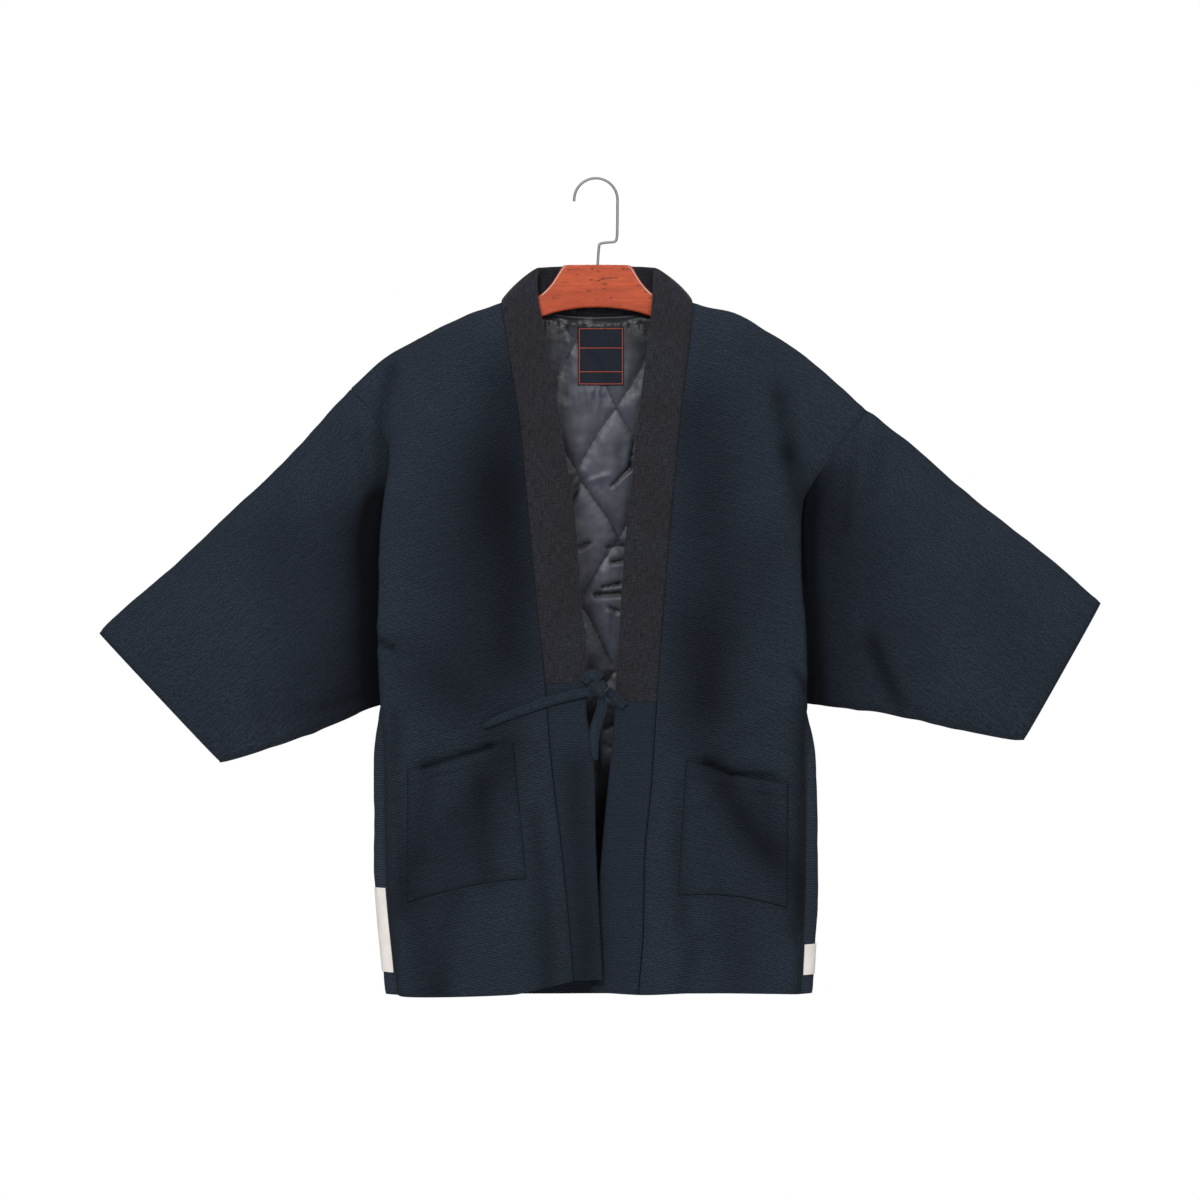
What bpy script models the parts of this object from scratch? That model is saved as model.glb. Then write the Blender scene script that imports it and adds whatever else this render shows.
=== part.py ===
"""Padded kimono jacket hanging on a flat wooden hanger.

Metres, +Z up. The origin is the inner top of the hanger's wire hook.
X runs across the shoulders and the front of the jacket faces -Y.
"right" and "left" are the wearer's, so the right half lies on -X.
Tables are in millimetres: out is away from the middle, down is below the origin,
fwd is towards the front.
"""

import math

import bmesh
import bpy
import numpy as np
from mathutils import Vector
from mathutils.bvhtree import BVHTree

# Driving sizes, in millimetres
WALL = 4.0               # padded cloth with its lining cloth
SEAM_GAP = 0.3           # between two pieces that are sewn together
LINING = 1.6             # quilted lining at its stitch lines
QUILT_RISE = 4.0         # height of a quilted diamond over its stitch lines
QUILT_WIDE = 92.0        # one diamond across
QUILT_TALL = 152.0       # one diamond from top to bottom
QUILT_AT = (23.0, 262.0)  # one crossing of the stitch lines: x, down
ARMPIT_DOWN = 604.0
LEVEL_DOWN = 300.0       # from here down the rows of a panel lie level
LEVEL_AT = 0.4           # and this is that row's place between shoulder (0) and armpit (1)
ROW_STEP = QUILT_TALL / 4
HEM_DOWN = 941.0
NECK_SIDE = (111.0, 141.0)  # where the collar crosses the shoulder: out, down
SHOULDER_EASE = 1.7      # crowds the rows towards the shoulder's fold
SIDE_FALL = 0.12         # how much less a panel stands forward at its side
REAR_ROLL = 30.0         # width of the back's rounding towards its side seam
UNDER_SAG = 2.0          # how far the underside of a sleeve hangs between its folds
POCKET_CLOTH = 2.4
POCKET_MOUTH = 9.0       # how far the pocket's mouth stands open
LABEL_CLOTH = 0.8
WIRE = 3.0               # diameter of the hook's wire
WOOD = 10.0              # thickness of the hanger
WOOD_EDGE = 3.4          # rounding of its edges
WOOD_ARM = 27.0          # height of an arm
STRAP_WIDE = 11.5
STRAP_THICK = 4.5
CORNER_COSINE = 0.7      # a border that turns more than this is a corner of its piece
MM = 0.001

SIDES = {"right": -1, "left": 1}


class Table:
    """A short table of sizes, read between its rows along a smooth curve."""

    def __init__(self, names, *rows):
        self.names = names.split()
        self.rows = np.array(rows, float)
        self.key = self.rows[:, 0]

    def at(self, name, key):
        key = np.clip(key, self.key[0], self.key[-1])
        value = self.rows[:, self.names.index(name)]
        step = np.diff(self.key)
        slope = np.diff(value) / step
        tangent = np.concatenate(([slope[0]], np.zeros(len(slope) - 1), [slope[-1]]))
        for i in range(1, len(slope)):
            if slope[i - 1] * slope[i] > 0:
                weight = 3 * (step[i - 1] + step[i])
                before = 2 * step[i] + step[i - 1]
                after = step[i] + 2 * step[i - 1]
                tangent[i] = weight / (before / slope[i - 1] + after / slope[i])
        i = int(np.clip(np.searchsorted(self.key, key) - 1, 0, len(step) - 1))
        s = (key - self.key[i]) / step[i]
        return float(hermite(value[i], tangent[i] * step[i], value[i + 1], tangent[i + 1] * step[i], s))


def hermite(start, leave, end, arrive, s):
    """Cubic from start to end with the tangents leave and arrive."""
    rise = s * s * (3 - 2 * s)
    return start * (1 - rise) + end * rise + leave * s * (1 - s) ** 2 - arrive * s * s * (1 - s)


def mix(a, b, s):
    return a + (b - a) * s


def smooth(s):
    s = min(max(s, 0.0), 1.0)
    return s * s * (3 - 2 * s)


# Top outline of shoulder and sleeve, from the middle of the neck to the cuff
TOP = {
    "right": Table("out down", (0, 96), (60, 104), (92, 120), (111, 141), (148, 156), (183, 172),
                   (215, 189), (243, 205), (279, 237), (311, 269), (338, 301), (387, 350),
                   (437, 398), (488, 446), (544, 494), (575, 523)),
    "left": Table("out down", (0, 96), (60, 104), (92, 120), (111, 141), (162, 156), (192, 172),
                  (218, 188), (241, 205), (278, 237), (316, 269), (358, 301), (414, 350),
                  (473, 398), (534, 446), (582, 488)),
}
# Lower outline of the sleeve, from the armpit to the cuff
UNDER = {
    "right": Table("out down", (240, 604), (262, 611), (303, 627), (345, 643), (383, 656), (435, 672)),
    "left": Table("out down", (232, 604), (261, 606), (322, 613), (379, 625), (450, 639), (493, 646)),
}
# Cut edge of the front panel, where the collar band is sewn on
BAND_SEAM = {
    "right": Table("down out", (141, 111), (170, 107), (213, 100), (285, 89), (393, 79), (508, 68),
                   (581, 60), (658, 54), (715, 48), (761, 42), (917, 27), (941, 25)),
    "left": Table("down out", (141, 111), (190, 107), (252, 99), (376, 87), (531, 74), (602, 69),
                  (694, 63), (789, 55), (857, 54), (937, 48)),
}
# Free edge of the collar band down the front: place for each height of its seam
BAND_EDGE = {
    "right": Table("seam_down out down fwd", (141, 67, 101, -2), (150, 69, 113, 6), (165, 68, 134, 12),
                   (190, 62, 166, 18), (230, 53, 214, 28), (300, 40, 294, 41), (358, 30, 358, 48),
                   (405, 24, 405, 52), (477, 19, 477, 55), (562, 11, 562, 56), (609, 12, 609, 57),
                   (661, 4, 661, 57), (775, 1, 773, 56), (922, -6, 920, 53)),
    "left": Table("seam_down out down fwd", (141, 66, 101, -2), (150, 65, 113, 6), (165, 64, 134, 12),
                  (190, 61, 166, 18), (230, 55, 214, 28), (300, 45, 297, 41), (358, 39, 358, 48),
                  (422, 32, 422, 52), (515, 26, 515, 54), (582, 22, 582, 53), (614, 20, 614, 52),
                  (683, 14, 683, 48), (721, 10, 721, 45), (941, -8, 938, 37)),
}
# Free edge of the collar behind the neck, for each place of its seam
NECK_EDGE = Table("seam_out out down back", (0, 0, 99, 26), (28, 18, 99, 25), (55, 36, 99, 22),
                  (85, 53, 99.5, 14), (111, 67, 101, 2))
NECKLINE = Table("out down", (0, 157), (28, 156), (55, 152), (85, 147), (111, 141))
COLLAR_END = {"right": 581.0, "left": 602.0}
# Lower edge of each front panel and of the back
HEM = {
    "right": Table("out down", (-6, 922), (5, 919), (27, 922), (61, 930), (99, 938), (200, 941),
                   (229, 940), (236, 937)),
    "left": Table("out down", (-8, 938), (54, 938), (116, 936), (198, 937), (250, 938)),
}
# How far the cloth stands forward and back at each drop below the shoulder's fold
HANG = Table("drop front back", (0, 0, 0), (3, 6, 5.5), (8, 10, 9), (18, 14.5, 13), (40, 21, 17),
             (90, 30, 20), (160, 38, 22.5), (250, 45, 24.5), (350, 50, 26), (450, 52, 27),
             (600, 50, 26), (800, 45, 24))
# Side of each panel, by row: 0 is the shoulder's fold, 1 the armpit, 2 the hem.
# The front rolls over at roll and tucks back to the armhole or gusset seam.
SIDE = {
    "right": Table("row roll push seam down fwd arrive turn rear_out rear",
                   (0.0, 208, 50, 284, 241, 0, 50, 0, 284, 0),
                   (0.1, 206, 40, 278, 249, 8, 45, 4, 279, 8),
                   (0.2, 209, 38, 264, 263, 12, 30, 6, 272, 12),
                   (0.3, 212, 46, 252, 286, 14, 12, 9, 266, 14),
                   (0.4, 219, 60, 239, 316, 15, -12, 15, 259, 15),
                   (0.55, 232, 74, 230, 374, 16, -38, 22, 251, 15),
                   (0.7, 239, 75, 228, 440, 17, -50, 22, 246, 15),
                   (0.85, 240, 72, 230, 522, 17, -44, 22, 243, 14),
                   (1.0, 238, 60, 241, 604, 16, -6, 22, 240, 12),
                   (1.2, 236, 30, 245, 671, 26, 2, 14, 243, 15),
                   (1.5, 232, 28, 244, 772, 29, 6, 12, 241, 17),
                   (2.0, 219, 28, 230, 939, 28, 6, 12, 231, 16)),
    "left": Table("row roll push seam down fwd arrive turn rear_out rear",
                  (0.0, 203, 60, 312, 266, 0, 60, 0, 312, 0),
                  (0.1, 202, 50, 306, 274, 8, 60, 4, 306, 8),
                  (0.2, 203, 45, 294, 290, 12, 50, 6, 296, 12),
                  (0.3, 206, 45, 275, 315, 15, 35, 8, 283, 14),
                  (0.4, 211, 55, 252, 346, 16, 5, 12, 270, 15),
                  (0.55, 216, 65, 230, 395, 17, -30, 18, 256, 15),
                  (0.7, 221, 75, 217, 457, 17, -50, 22, 246, 15),
                  (0.85, 229, 75, 214, 528, 17, -50, 22, 238, 14),
                  (1.0, 229, 68, 230, 604, 16, -12, 22, 232, 12),
                  (1.2, 227, 35, 240, 671, 26, 2, 14, 238, 15),
                  (1.5, 226, 30, 241, 772, 29, 6, 12, 240, 17),
                  (2.0, 222, 28, 235, 938, 28, 6, 12, 235, 16)),
}
GUSSET_BULGE = Table("row out", (1.0, 4), (1.15, 10), (1.4, 13), (1.7, 15), (2.0, 14))
SLEEVE_DEPTH = Table("along half under", (0, 17, 14), (0.25, 20, 12), (0.5, 21, 9), (0.75, 18, 6), (1, 13, 4))
# Largest folds, each a soft ridge (rise over 0) or trough along a line.
# Columns: x0, down0, x1, down1, half_width, rise
FRONT_FOLDS = (
    (-95, 300, -80, 560, 42, -5.0),
    (-150, 330, -185, 560, 48, 4.5),
    (-70, 640, -190, 730, 34, 3.5),
    (-62, 760, -52, 930, 22, 4.0),
    (-112, 700, -150, 900, 36, -3.5),
    (150, 320, 140, 590, 40, -5.0),
    (200, 400, 185, 620, 34, 4.0),
    (215, 610, 110, 700, 34, 3.5),
    (120, 690, 165, 880, 38, -3.5),
    (90, 640, 78, 900, 30, 3.0),
)
BACK_FOLDS = (
    (-150, 280, -120, 620, 46, 3.5),
    (-60, 330, -75, 800, 40, -3.0),
    (20, 420, 10, 900, 46, 3.0),
    (95, 300, 70, 700, 42, -3.0),
    (160, 300, 150, 680, 44, 3.5),
    (-165, 640, -140, 900, 40, 3.0),
    (150, 660, 175, 900, 40, 3.0),
)
SLEEVE_FOLDS = (
    (-300, 330, -262, 560, 26, -7.0),
    (-345, 360, -325, 600, 30, 5.0),
    (-430, 430, -395, 610, 36, -3.0),
    (262, 340, 262, 560, 22, -7.0),
    (305, 330, 300, 590, 30, 5.0),
    (330, 480, 352, 612, 20, -5.0),
    (430, 420, 440, 600, 36, 3.0),
)

UP_ROWS = [0.0, 0.05, 0.1, 0.16, 0.24, 0.32] + [
    mix(LEVEL_AT, 1.0, i * ROW_STEP / (ARMPIT_DOWN - LEVEL_DOWN)) for i in range(9)]
LOW_ROWS = [1 + i * ROW_STEP / (HEM_DOWN - ARMPIT_DOWN) for i in range(1, 9)] + [2.0]
ROWS = UP_ROWS + LOW_ROWS
MAIN = [i / 6 for i in range(7)]
OUTER = [0.14, 0.32, 0.5, 0.7, 1.0]
NECK_X = [0.0, 23.0, 46.0, 69.0, 92.0]
GUSSET = [0.0, 0.3, 0.65, 1.0]
SLEEVE = [0.0, 0.06, 0.14, 0.24, 0.36, 0.5, 0.66, 0.83, 1.0]


def fold_rise(folds, x, down):
    """Sum of the soft ridges and troughs at a place."""
    total = 0.0
    for x0, down0, x1, down1, half_width, rise in folds:
        along = np.array((x1 - x0, down1 - down0), float)
        length = np.hypot(*along)
        along /= length
        offset = np.array((x - x0, down - down0), float)
        travel = offset @ along
        beside = abs(offset[0] * along[1] - offset[1] * along[0])
        past = max(-travel, travel - length, 0.0)
        total += rise * math.exp(-(beside / half_width) ** 2 - (past / (1.4 * half_width)) ** 2)
    return total


def down_at(side, out, row, neck):
    """Height of a panel's row at a distance from the middle; neck is True on the back."""
    if out < NECK_SIDE[0]:
        top = NECKLINE.at("down", out) if neck else NECK_SIDE[1]
    else:
        top = TOP[side].at("down", out)
    if row <= LEVEL_AT:
        return mix(top, LEVEL_DOWN, (row / LEVEL_AT) ** SHOULDER_EASE)
    if row <= 1:
        return mix(LEVEL_DOWN, ARMPIT_DOWN, (row - LEVEL_AT) / (1 - LEVEL_AT))
    low = HEM_DOWN if neck else HEM[side].at("down", out)
    return mix(ARMPIT_DOWN, low, row - 1)


def front_main(side, u, row):
    """Front panel from its band seam (u 0) to where it rolls over at the side (u 1)."""
    shift = COLLAR_END[side] - ARMPIT_DOWN
    shift *= smooth((row - LEVEL_AT) / (1 - LEVEL_AT)) if row <= 1 else 2 - row
    seam_down = down_at(side, BAND_SEAM[side].rows[-1][1], row, False) + shift
    seam_out = BAND_SEAM[side].at("out", seam_down)
    out = mix(seam_out, SIDE[side].at("roll", row), u)
    down = down_at(side, out, row, False) + shift * (1 - u)
    if u == 0:
        down = seam_down
    drop = max(down - TOP[side].at("down", out), 0.0)
    fwd = HANG.at("front", drop) * (1 - SIDE_FALL * u * u)
    x = SIDES[side] * out
    fwd += fold_rise(FRONT_FOLDS, x, down) * smooth(drop / 120)
    return np.array((x, -fwd, -down))


def back_main(side, out_share, row):
    """Back panel from the middle to its side; out_share is a place in NECK_X or past it in MAIN."""
    kind, value = out_share
    roll = min(SIDE[side].at("roll", row), SIDE[side].at("rear_out", row) - REAR_ROLL)
    out = value if kind == "neck" else mix(111, roll, value)
    down = down_at(side, out, row, True)
    drop = max(down - TOP[side].at("down", out), 0.0)
    back = HANG.at("back", drop) * (1 - SIDE_FALL * (out / roll) ** 2)
    x = SIDES[side] * out
    back += fold_rise(BACK_FOLDS, x, down) * smooth(drop / 120)
    return np.array((x, back, -down))


def side_point(side, v, row, front):
    """Side of a panel, from its roll (v 0) back to the armhole or gusset seam (v 1)."""
    table = SIDE[side]
    sign = SIDES[side]
    push, reach, turn = (table.at(name, row) for name in ("push", "arrive", "turn"))
    if front:
        start = front_main(side, 1.0, row)
        before = front_main(side, 0.97, row)
        end = (sign * table.at("seam", row), -table.at("fwd", row))
    else:
        start = back_main(side, ("main", 1.0), row)
        before = back_main(side, ("main", 0.97), row)
        end = (sign * table.at("rear_out", row), table.at("rear", row))
        span = abs(end[0] - start[0])
        away = smooth(row / 0.2)
        push, reach, turn = mix(push, span, away), mix(reach, 0.6 * span, away), -8.0 * away
    arrive = (sign * reach, turn)
    leave = (start - before)[:2]
    leave *= push / np.hypot(*leave)
    x, y = (hermite(start[k], leave[k], end[k], arrive[k], v) for k in (0, 1))
    down = mix(-start[2], table.at("down", row), v)
    hold = 1 - smooth(row / 0.25)
    if hold > 0:
        top = TOP[side]
        drop = mix(-start[2] - top.at("down", abs(start[0])),
                   table.at("down", row) - top.at("down", abs(end[0])), v)
        down = mix(down, top.at("down", abs(x)) + drop, hold)
    return np.array((x, y, -down))


def gusset_point(side, u, row):
    """Side gusset, from the front panel's seam (u 0) to the back's (u 1)."""
    front = side_point(side, 1.0, row, True)
    rear = side_point(side, 1.0, row, False)
    point = mix(front, rear, u)
    point[0] += SIDES[side] * GUSSET_BULGE.at("out", row) * math.sin(math.pi * u)
    return point


def sleeve_point(side, along, place, value):
    """Sleeve from the armhole (along 0) to the cuff (1); place is front, back or under."""
    sign = SIDES[side]
    table = SIDE[side]
    top_out = mix(table.at("seam", 0), TOP[side].key[-1], along)
    top = np.array((top_out, TOP[side].at("down", top_out)))
    low_out = mix(UNDER[side].key[0], UNDER[side].key[-1], along)
    low = np.array((low_out, UNDER[side].at("down", low_out)))
    first_top = np.array((table.at("seam", 0), table.at("down", 0)))
    first_low = np.array((UNDER[side].key[0], ARMPIT_DOWN))
    under = SLEEVE_DEPTH.at("under", along)
    if place == "under":
        point = mix(sleeve_point(side, along, "front", 1.0), sleeve_point(side, along, "back", 1.0), value)
        seam = [side_point(side, 1.0, 1.0, front) for front in (True, False)]
        bulge = gusset_point(side, value, 1.0) - mix(*seam, value)
        point[2] -= UNDER_SAG * math.sin(math.pi * value) * smooth(along / 0.2)
        return point + bulge * (1 - along) ** 6
    seam = side_point(side, 1.0, value, place == "front")
    share = (-seam[2] - first_top[1]) / (ARMPIT_DOWN - first_top[1])
    rest = np.array((sign * seam[0], -seam[2])) - mix(first_top, first_low, share)
    flat = mix(top, low, share) + rest * (1 - along) ** 3
    round_ = math.sqrt(max(1 - abs(2 * share - 1) ** 2.6, 0.0))
    depth = SLEEVE_DEPTH.at("half", along) * round_ + under * share ** 4
    depth = mix(abs(seam[1]), depth, smooth(along / 0.3))
    folds = fold_rise(SLEEVE_FOLDS, sign * flat[0], flat[1]) * round_ * smooth(along / 0.06)
    if place == "back":
        folds *= 0.5
    depth += folds
    return np.array((sign * flat[0], -depth if place == "front" else depth, -flat[1]))


def patches(side):
    """Grids of points, one for each face of the jacket, with shared points along the seams."""
    front = [[front_main(side, u, t) for u in MAIN] + [side_point(side, v, t, True) for v in OUTER]
             for t in ROWS]
    shares = [("neck", x) for x in NECK_X] + [("main", u) for u in MAIN]
    back = [[back_main(side, s, t) for s in shares] + [side_point(side, v, t, False) for v in OUTER]
            for t in ROWS]
    gusset = [[gusset_point(side, u, t) for u in GUSSET] for t in [1.0] + LOW_ROWS]
    ring = ([("front", t) for t in UP_ROWS] + [("under", u) for u in GUSSET[1:-1]]
            + [("back", t) for t in reversed(UP_ROWS)])
    sleeve = [[sleeve_point(side, f, place, value) for place, value in ring] for f in SLEEVE]
    return {"front": front, "back": back, "gusset": gusset, "sleeve": sleeve}


def key_of(point):
    return tuple(np.round(point, 3))


def quads(grid):
    """The four corners of each cell of a grid, one after another."""
    for upper, lower in zip(grid, grid[1:]):
        for i in range(len(upper) - 1):
            yield upper[i], upper[i + 1], lower[i + 1], lower[i]


def outward(faces, flip):
    return [face[::-1] if flip else face for face in faces]


def seam_normals(face_lists):
    """Normals over all faces together, so that two pieces meet in one mitre at their seam."""
    normals = {}
    for faces in face_lists:
        for a, b, c, d in faces:
            normal = np.cross(c - a, d - b)
            normal /= np.linalg.norm(normal)
            for corner in (a, b, c, d):
                spot = key_of(corner)
                normals[spot] = normals.get(spot, 0) + normal
    return {spot: normal / np.linalg.norm(normal) for spot, normal in normals.items()}


def material(name, color, roughness, metallic=0.0):
    made = bpy.data.materials.new(name)
    made.use_nodes = True
    shader = made.node_tree.nodes["Principled BSDF"]
    shader.inputs["Base Color"].default_value = (*color, 1.0)
    shader.inputs["Roughness"].default_value = roughness
    shader.inputs["Metallic"].default_value = metallic
    made.diffuse_color = (*color, 1.0)
    return made


def add_object(name, data, look, collection):
    obj = bpy.data.objects.new(name, data)
    obj.data.materials.append(look)
    collection.objects.link(obj)
    return obj


def finish_mesh(name, bm, look, collection):
    bmesh.ops.recalc_face_normals(bm, faces=bm.faces)
    mesh = bpy.data.meshes.new(name)
    bm.to_mesh(mesh)
    bm.free()
    mesh.shade_smooth()
    mesh.set_sharp_from_angle(angle=math.radians(50))
    return add_object(name, mesh, look, collection)


def seam_trim(normal, borders):
    """Half a seam gap, square to the mitre along a seam and into the piece at its corners."""
    if not borders:
        return Vector()
    insides = [inside for _, inside in borders]
    if borders[0][0].dot(borders[-1][0]) > CORNER_COSINE:
        squares = [normal.cross(along).normalized() for along, _ in borders]
        insides = [square if square.dot(inside) > 0 else -square for square, inside in zip(squares, insides)]
    trim = sum(insides, Vector()) / len(insides)
    return trim * SEAM_GAP / 2 / trim.length_squared


def cloth_wall(name, faces, normals, near, far, look, collection):
    """Closed wall over a sheet of faces, between two depths near and far below it.

    near and far are sizes, or functions of a point. Its border stays half a seam gap back.
    A face starts at the same corner on both sides, so that a bent one folds along the same diagonal.
    """
    bm = bmesh.new()
    verts = {}
    for corner in (corner for face in faces for corner in face):
        if key_of(corner) not in verts:
            verts[key_of(corner)] = bm.verts.new(corner)
    for face in faces:
        first = min(range(4), key=lambda i: key_of(face[i]))
        bm.faces.new([verts[key_of(corner)] for corner in face[first:] + face[:first]])
    bm.normal_update()
    turns = {vert: Vector(normals[spot]) for spot, vert in verts.items()}
    borders = {vert: [] for vert in bm.verts}
    rim = []
    for edge in bm.edges:
        if edge.is_boundary:
            loop = edge.link_loops[0]
            first, second = loop.vert, loop.link_loop_next.vert
            rim.append((first, second))
            along = (second.co - first.co).normalized()
            for vert in edge.verts:
                borders[vert].append((along, loop.face.normal.cross(along)))
    sheet = list(bm.faces)
    deep = {}
    for vert, normal in turns.items():
        trim = seam_trim(normal, borders[vert])
        base = Vector(vert.co)
        top, low = (depth(base) if callable(depth) else depth for depth in (near, far))
        vert.co = base + trim - normal * top
        deep[vert] = bm.verts.new(base + trim - normal * low)
    for face in sheet:
        first, *others = face.verts
        bm.faces.new([deep[vert] for vert in [first] + others[::-1]])
    spots = {vert: spot for spot, vert in verts.items()}
    for first, second in rim:
        split_face(bm, (second, first, deep[first], deep[second]), spots[second] < spots[first])
    for vert in bm.verts:
        vert.co *= MM
    return finish_mesh(name, bm, look, collection)


def split_face(bm, corners, from_first):
    """Two triangles in place of a bent face; pieces that share a seam split it the same way."""
    a, b, c, d = corners
    triangles = ((a, b, c), (a, c, d)) if from_first else ((a, b, d), (b, c, d))
    for triangle in triangles:
        bm.faces.new(triangle)


def loft(name, sections, look, collection, seam_keys=None):
    """Closed body through rings of points, with both ends capped.

    seam_keys are the rings' seam points, where the last side of each ring is the seam's face.
    """
    bm = bmesh.new()
    rings = [[bm.verts.new(Vector(point) * MM) for point in section] for section in sections]
    count = len(rings[0])
    for step, (upper, lower) in enumerate(zip(rings, rings[1:])):
        for i in range(count):
            corners = (upper[i], upper[(i + 1) % count], lower[(i + 1) % count], lower[i])
            if seam_keys and i == count - 1:
                split_face(bm, corners, seam_keys[step + 1] < seam_keys[step])
            else:
                bm.faces.new(corners)
    bm.faces.new(rings[0][::-1])
    bm.faces.new(rings[-1])
    return finish_mesh(name, bm, look, collection)


# Section of the collar band: share of its width from the seam, and how far it stands out
BAND_SECTION = ((0.0, 0.0), (0.12, 1.2), (0.5, 1.6), (0.9, 1.0), (1.0, -1.6), (0.9, -4.6), (0.5, -5.2),
                (0.0, -WALL))


def band_sections(stations, normals):
    """Rings of a band from its seam points and edge points."""
    edges = [edge for _, edge in stations]
    rings = []
    for i, (seam, edge) in enumerate(stations):
        along = edges[min(i + 1, len(edges) - 1)] - edges[max(i - 1, 0)]
        across = edge - seam
        face_out = np.cross(across, along)
        face_out /= np.linalg.norm(face_out)
        normal = normals[key_of(seam)]
        if face_out @ normal < 0:
            face_out = -face_out
        gap = SEAM_GAP / 2 / np.linalg.norm(across)
        ring = []
        for share, rise in BAND_SECTION:
            turn = mix(normal, face_out, smooth(share * 1.6))
            turn /= np.linalg.norm(turn)
            ring.append(seam + across * max(share, gap) + turn * rise)
        rings.append(ring)
    return rings


def front_station(side, row):
    seam = front_main(side, 0.0, row)
    table = BAND_EDGE[side]
    down = -seam[2]
    edge = np.array((SIDES[side] * table.at("out", down), -table.at("fwd", down), -table.at("down", down)))
    return seam, edge


def neck_station(side, out):
    seam = back_main(side, ("neck", out), 0.0)
    edge = np.array((SIDES[side] * NECK_EDGE.at("out", out), NECK_EDGE.at("back", out),
                     -NECK_EDGE.at("down", out)))
    return seam, edge


def shorten(rings, start, end):
    """Move the first and last rings half a seam gap towards the next ones."""
    if start:
        step = np.mean(rings[1], axis=0) - np.mean(rings[0], axis=0)
        step *= SEAM_GAP / 2 / np.linalg.norm(step)
        rings[0] = [point + step for point in rings[0]]
    if end:
        step = np.mean(rings[-2], axis=0) - np.mean(rings[-1], axis=0)
        step *= SEAM_GAP / 2 / np.linalg.norm(step)
        rings[-1] = [point + step for point in rings[-1]]
    return rings


def band(name, stations, normals, sewn_ends, look, collection):
    """Collar band through its stations; sewn_ends says which of its ends meet another band."""
    rings = shorten(band_sections(stations, normals), *sewn_ends)
    return loft(name, rings, look, collection, [key_of(seam) for seam, _ in stations])


def quilt_rise(point):
    """Height of the quilted diamonds over their stitch lines."""
    a = (point[0] - QUILT_AT[0]) / QUILT_WIDE
    b = (-point[2] - QUILT_AT[1]) / QUILT_TALL
    across = abs(math.sin(math.pi * (a + b)))
    along = abs(math.sin(math.pi * (a - b)))
    return QUILT_RISE * min(across, along) ** 0.7


def surface(objects):
    """Search tree over the finished pieces, in millimetres."""
    points, faces = [], []
    for obj in objects:
        start = len(points)
        points += [vert.co / MM for vert in obj.data.vertices]
        faces += [[start + i for i in polygon.vertices] for polygon in obj.data.polygons]
    return BVHTree.FromPolygons(points, faces)


def front_of(tree, x, down, reach):
    """Foremost place of a surface within reach of a point, seen from the front."""
    places = [(0, 0)] + [(math.cos(a) * r, math.sin(a) * r) for r in (reach / 2, reach)
                         for a in np.linspace(0, math.tau, 8, endpoint=False)]
    hits = [tree.ray_cast(Vector((x + dx, -300, -down + dz)), Vector((0, 1, 0)))[0] for dx, dz in places]
    return min((hit.y for hit in hits if hit is not None), default=0.0)


# Pockets: corners of each patch, out and down, with the dip of the mouth and the rise of the base
POCKETS = {
    "right": {"mouth": ((96, 648), (217, 680)), "base": ((81, 804), (217, 832)), "dip": -3.0, "lift": 5.0},
    "left": {"mouth": ((102, 668), (219, 694)), "base": ((93, 823), (218, 838)), "dip": 3.0, "lift": 6.0},
}
POCKET_CELLS = 7
POCKET_REACH = 11.0


def pocket(side, tree, look, collection):
    """Patch pocket, sewn down on three sides, with its mouth a little open."""
    spec = POCKETS[side]
    inner, outer = [], []
    for j in range(POCKET_CELLS + 1):
        b = j / POCKET_CELLS
        inner_row, outer_row = [], []
        for i in range(POCKET_CELLS + 1):
            a = i / POCKET_CELLS
            arch = math.sin(math.pi * a)
            top = mix(np.array(spec["mouth"][0], float), np.array(spec["mouth"][1], float), a)
            low = mix(np.array(spec["base"][0], float), np.array(spec["base"][1], float), a)
            top[1] += spec["dip"] * arch
            low[1] -= spec["lift"] * arch
            out, down = mix(top, low, b)
            x = SIDES[side] * out
            rest = front_of(tree, x, down, POCKET_REACH) - SEAM_GAP
            gape = POCKET_MOUTH * arch ** 0.8 * (1 - smooth(b * 1.1))
            inner_row.append(np.array((x, rest - gape, -down)))
            outer_row.append(np.array((x, rest - gape - POCKET_CLOTH, -down)))
        inner.append(inner_row)
        outer.append(outer_row)
    return plate("pocket_" + side, inner, outer, look, collection)


def plate(name, inner, outer, look, collection):
    """Closed body between two grids of points."""
    bm = bmesh.new()
    grids = [[[bm.verts.new(Vector(point) * MM) for point in row] for row in grid] for grid in (inner, outer)]
    for grid in grids:
        for face in quads(grid):
            bm.faces.new(face)
    for first, second in zip(*(border(grid) for grid in grids)):
        bm.faces.new((*first, *second[::-1]))
    return finish_mesh(name, bm, look, collection)


def border(grid):
    """Edges round a grid, one after another."""
    loop = (list(grid[0]) + [row[-1] for row in grid[1:]] + list(grid[-1][-2::-1])
            + [row[0] for row in grid[-2:0:-1]])
    return list(zip(loop, loop[1:] + loop[:1]))


NECK_LABEL = {"x": (-22.0, 31.0), "down": (170.0, 237.0), "cells": (4, 5)}


def neck_label(tree, look, collection):
    """Plain woven label lying on the lining below the neck seam."""
    inner, outer = [], []
    for j in range(NECK_LABEL["cells"][1] + 1):
        down = mix(*NECK_LABEL["down"], j / NECK_LABEL["cells"][1])
        inner_row, outer_row = [], []
        for i in range(NECK_LABEL["cells"][0] + 1):
            x = mix(*NECK_LABEL["x"], i / NECK_LABEL["cells"][0])
            y = front_of(tree, x, down, 16.0) - SEAM_GAP
            inner_row.append(np.array((x, y, -down)))
            outer_row.append(np.array((x, y - LABEL_CLOTH, -down)))
        inner.append(inner_row)
        outer.append(outer_row)
    return plate("neck_label", inner, outer, look, collection)


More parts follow.
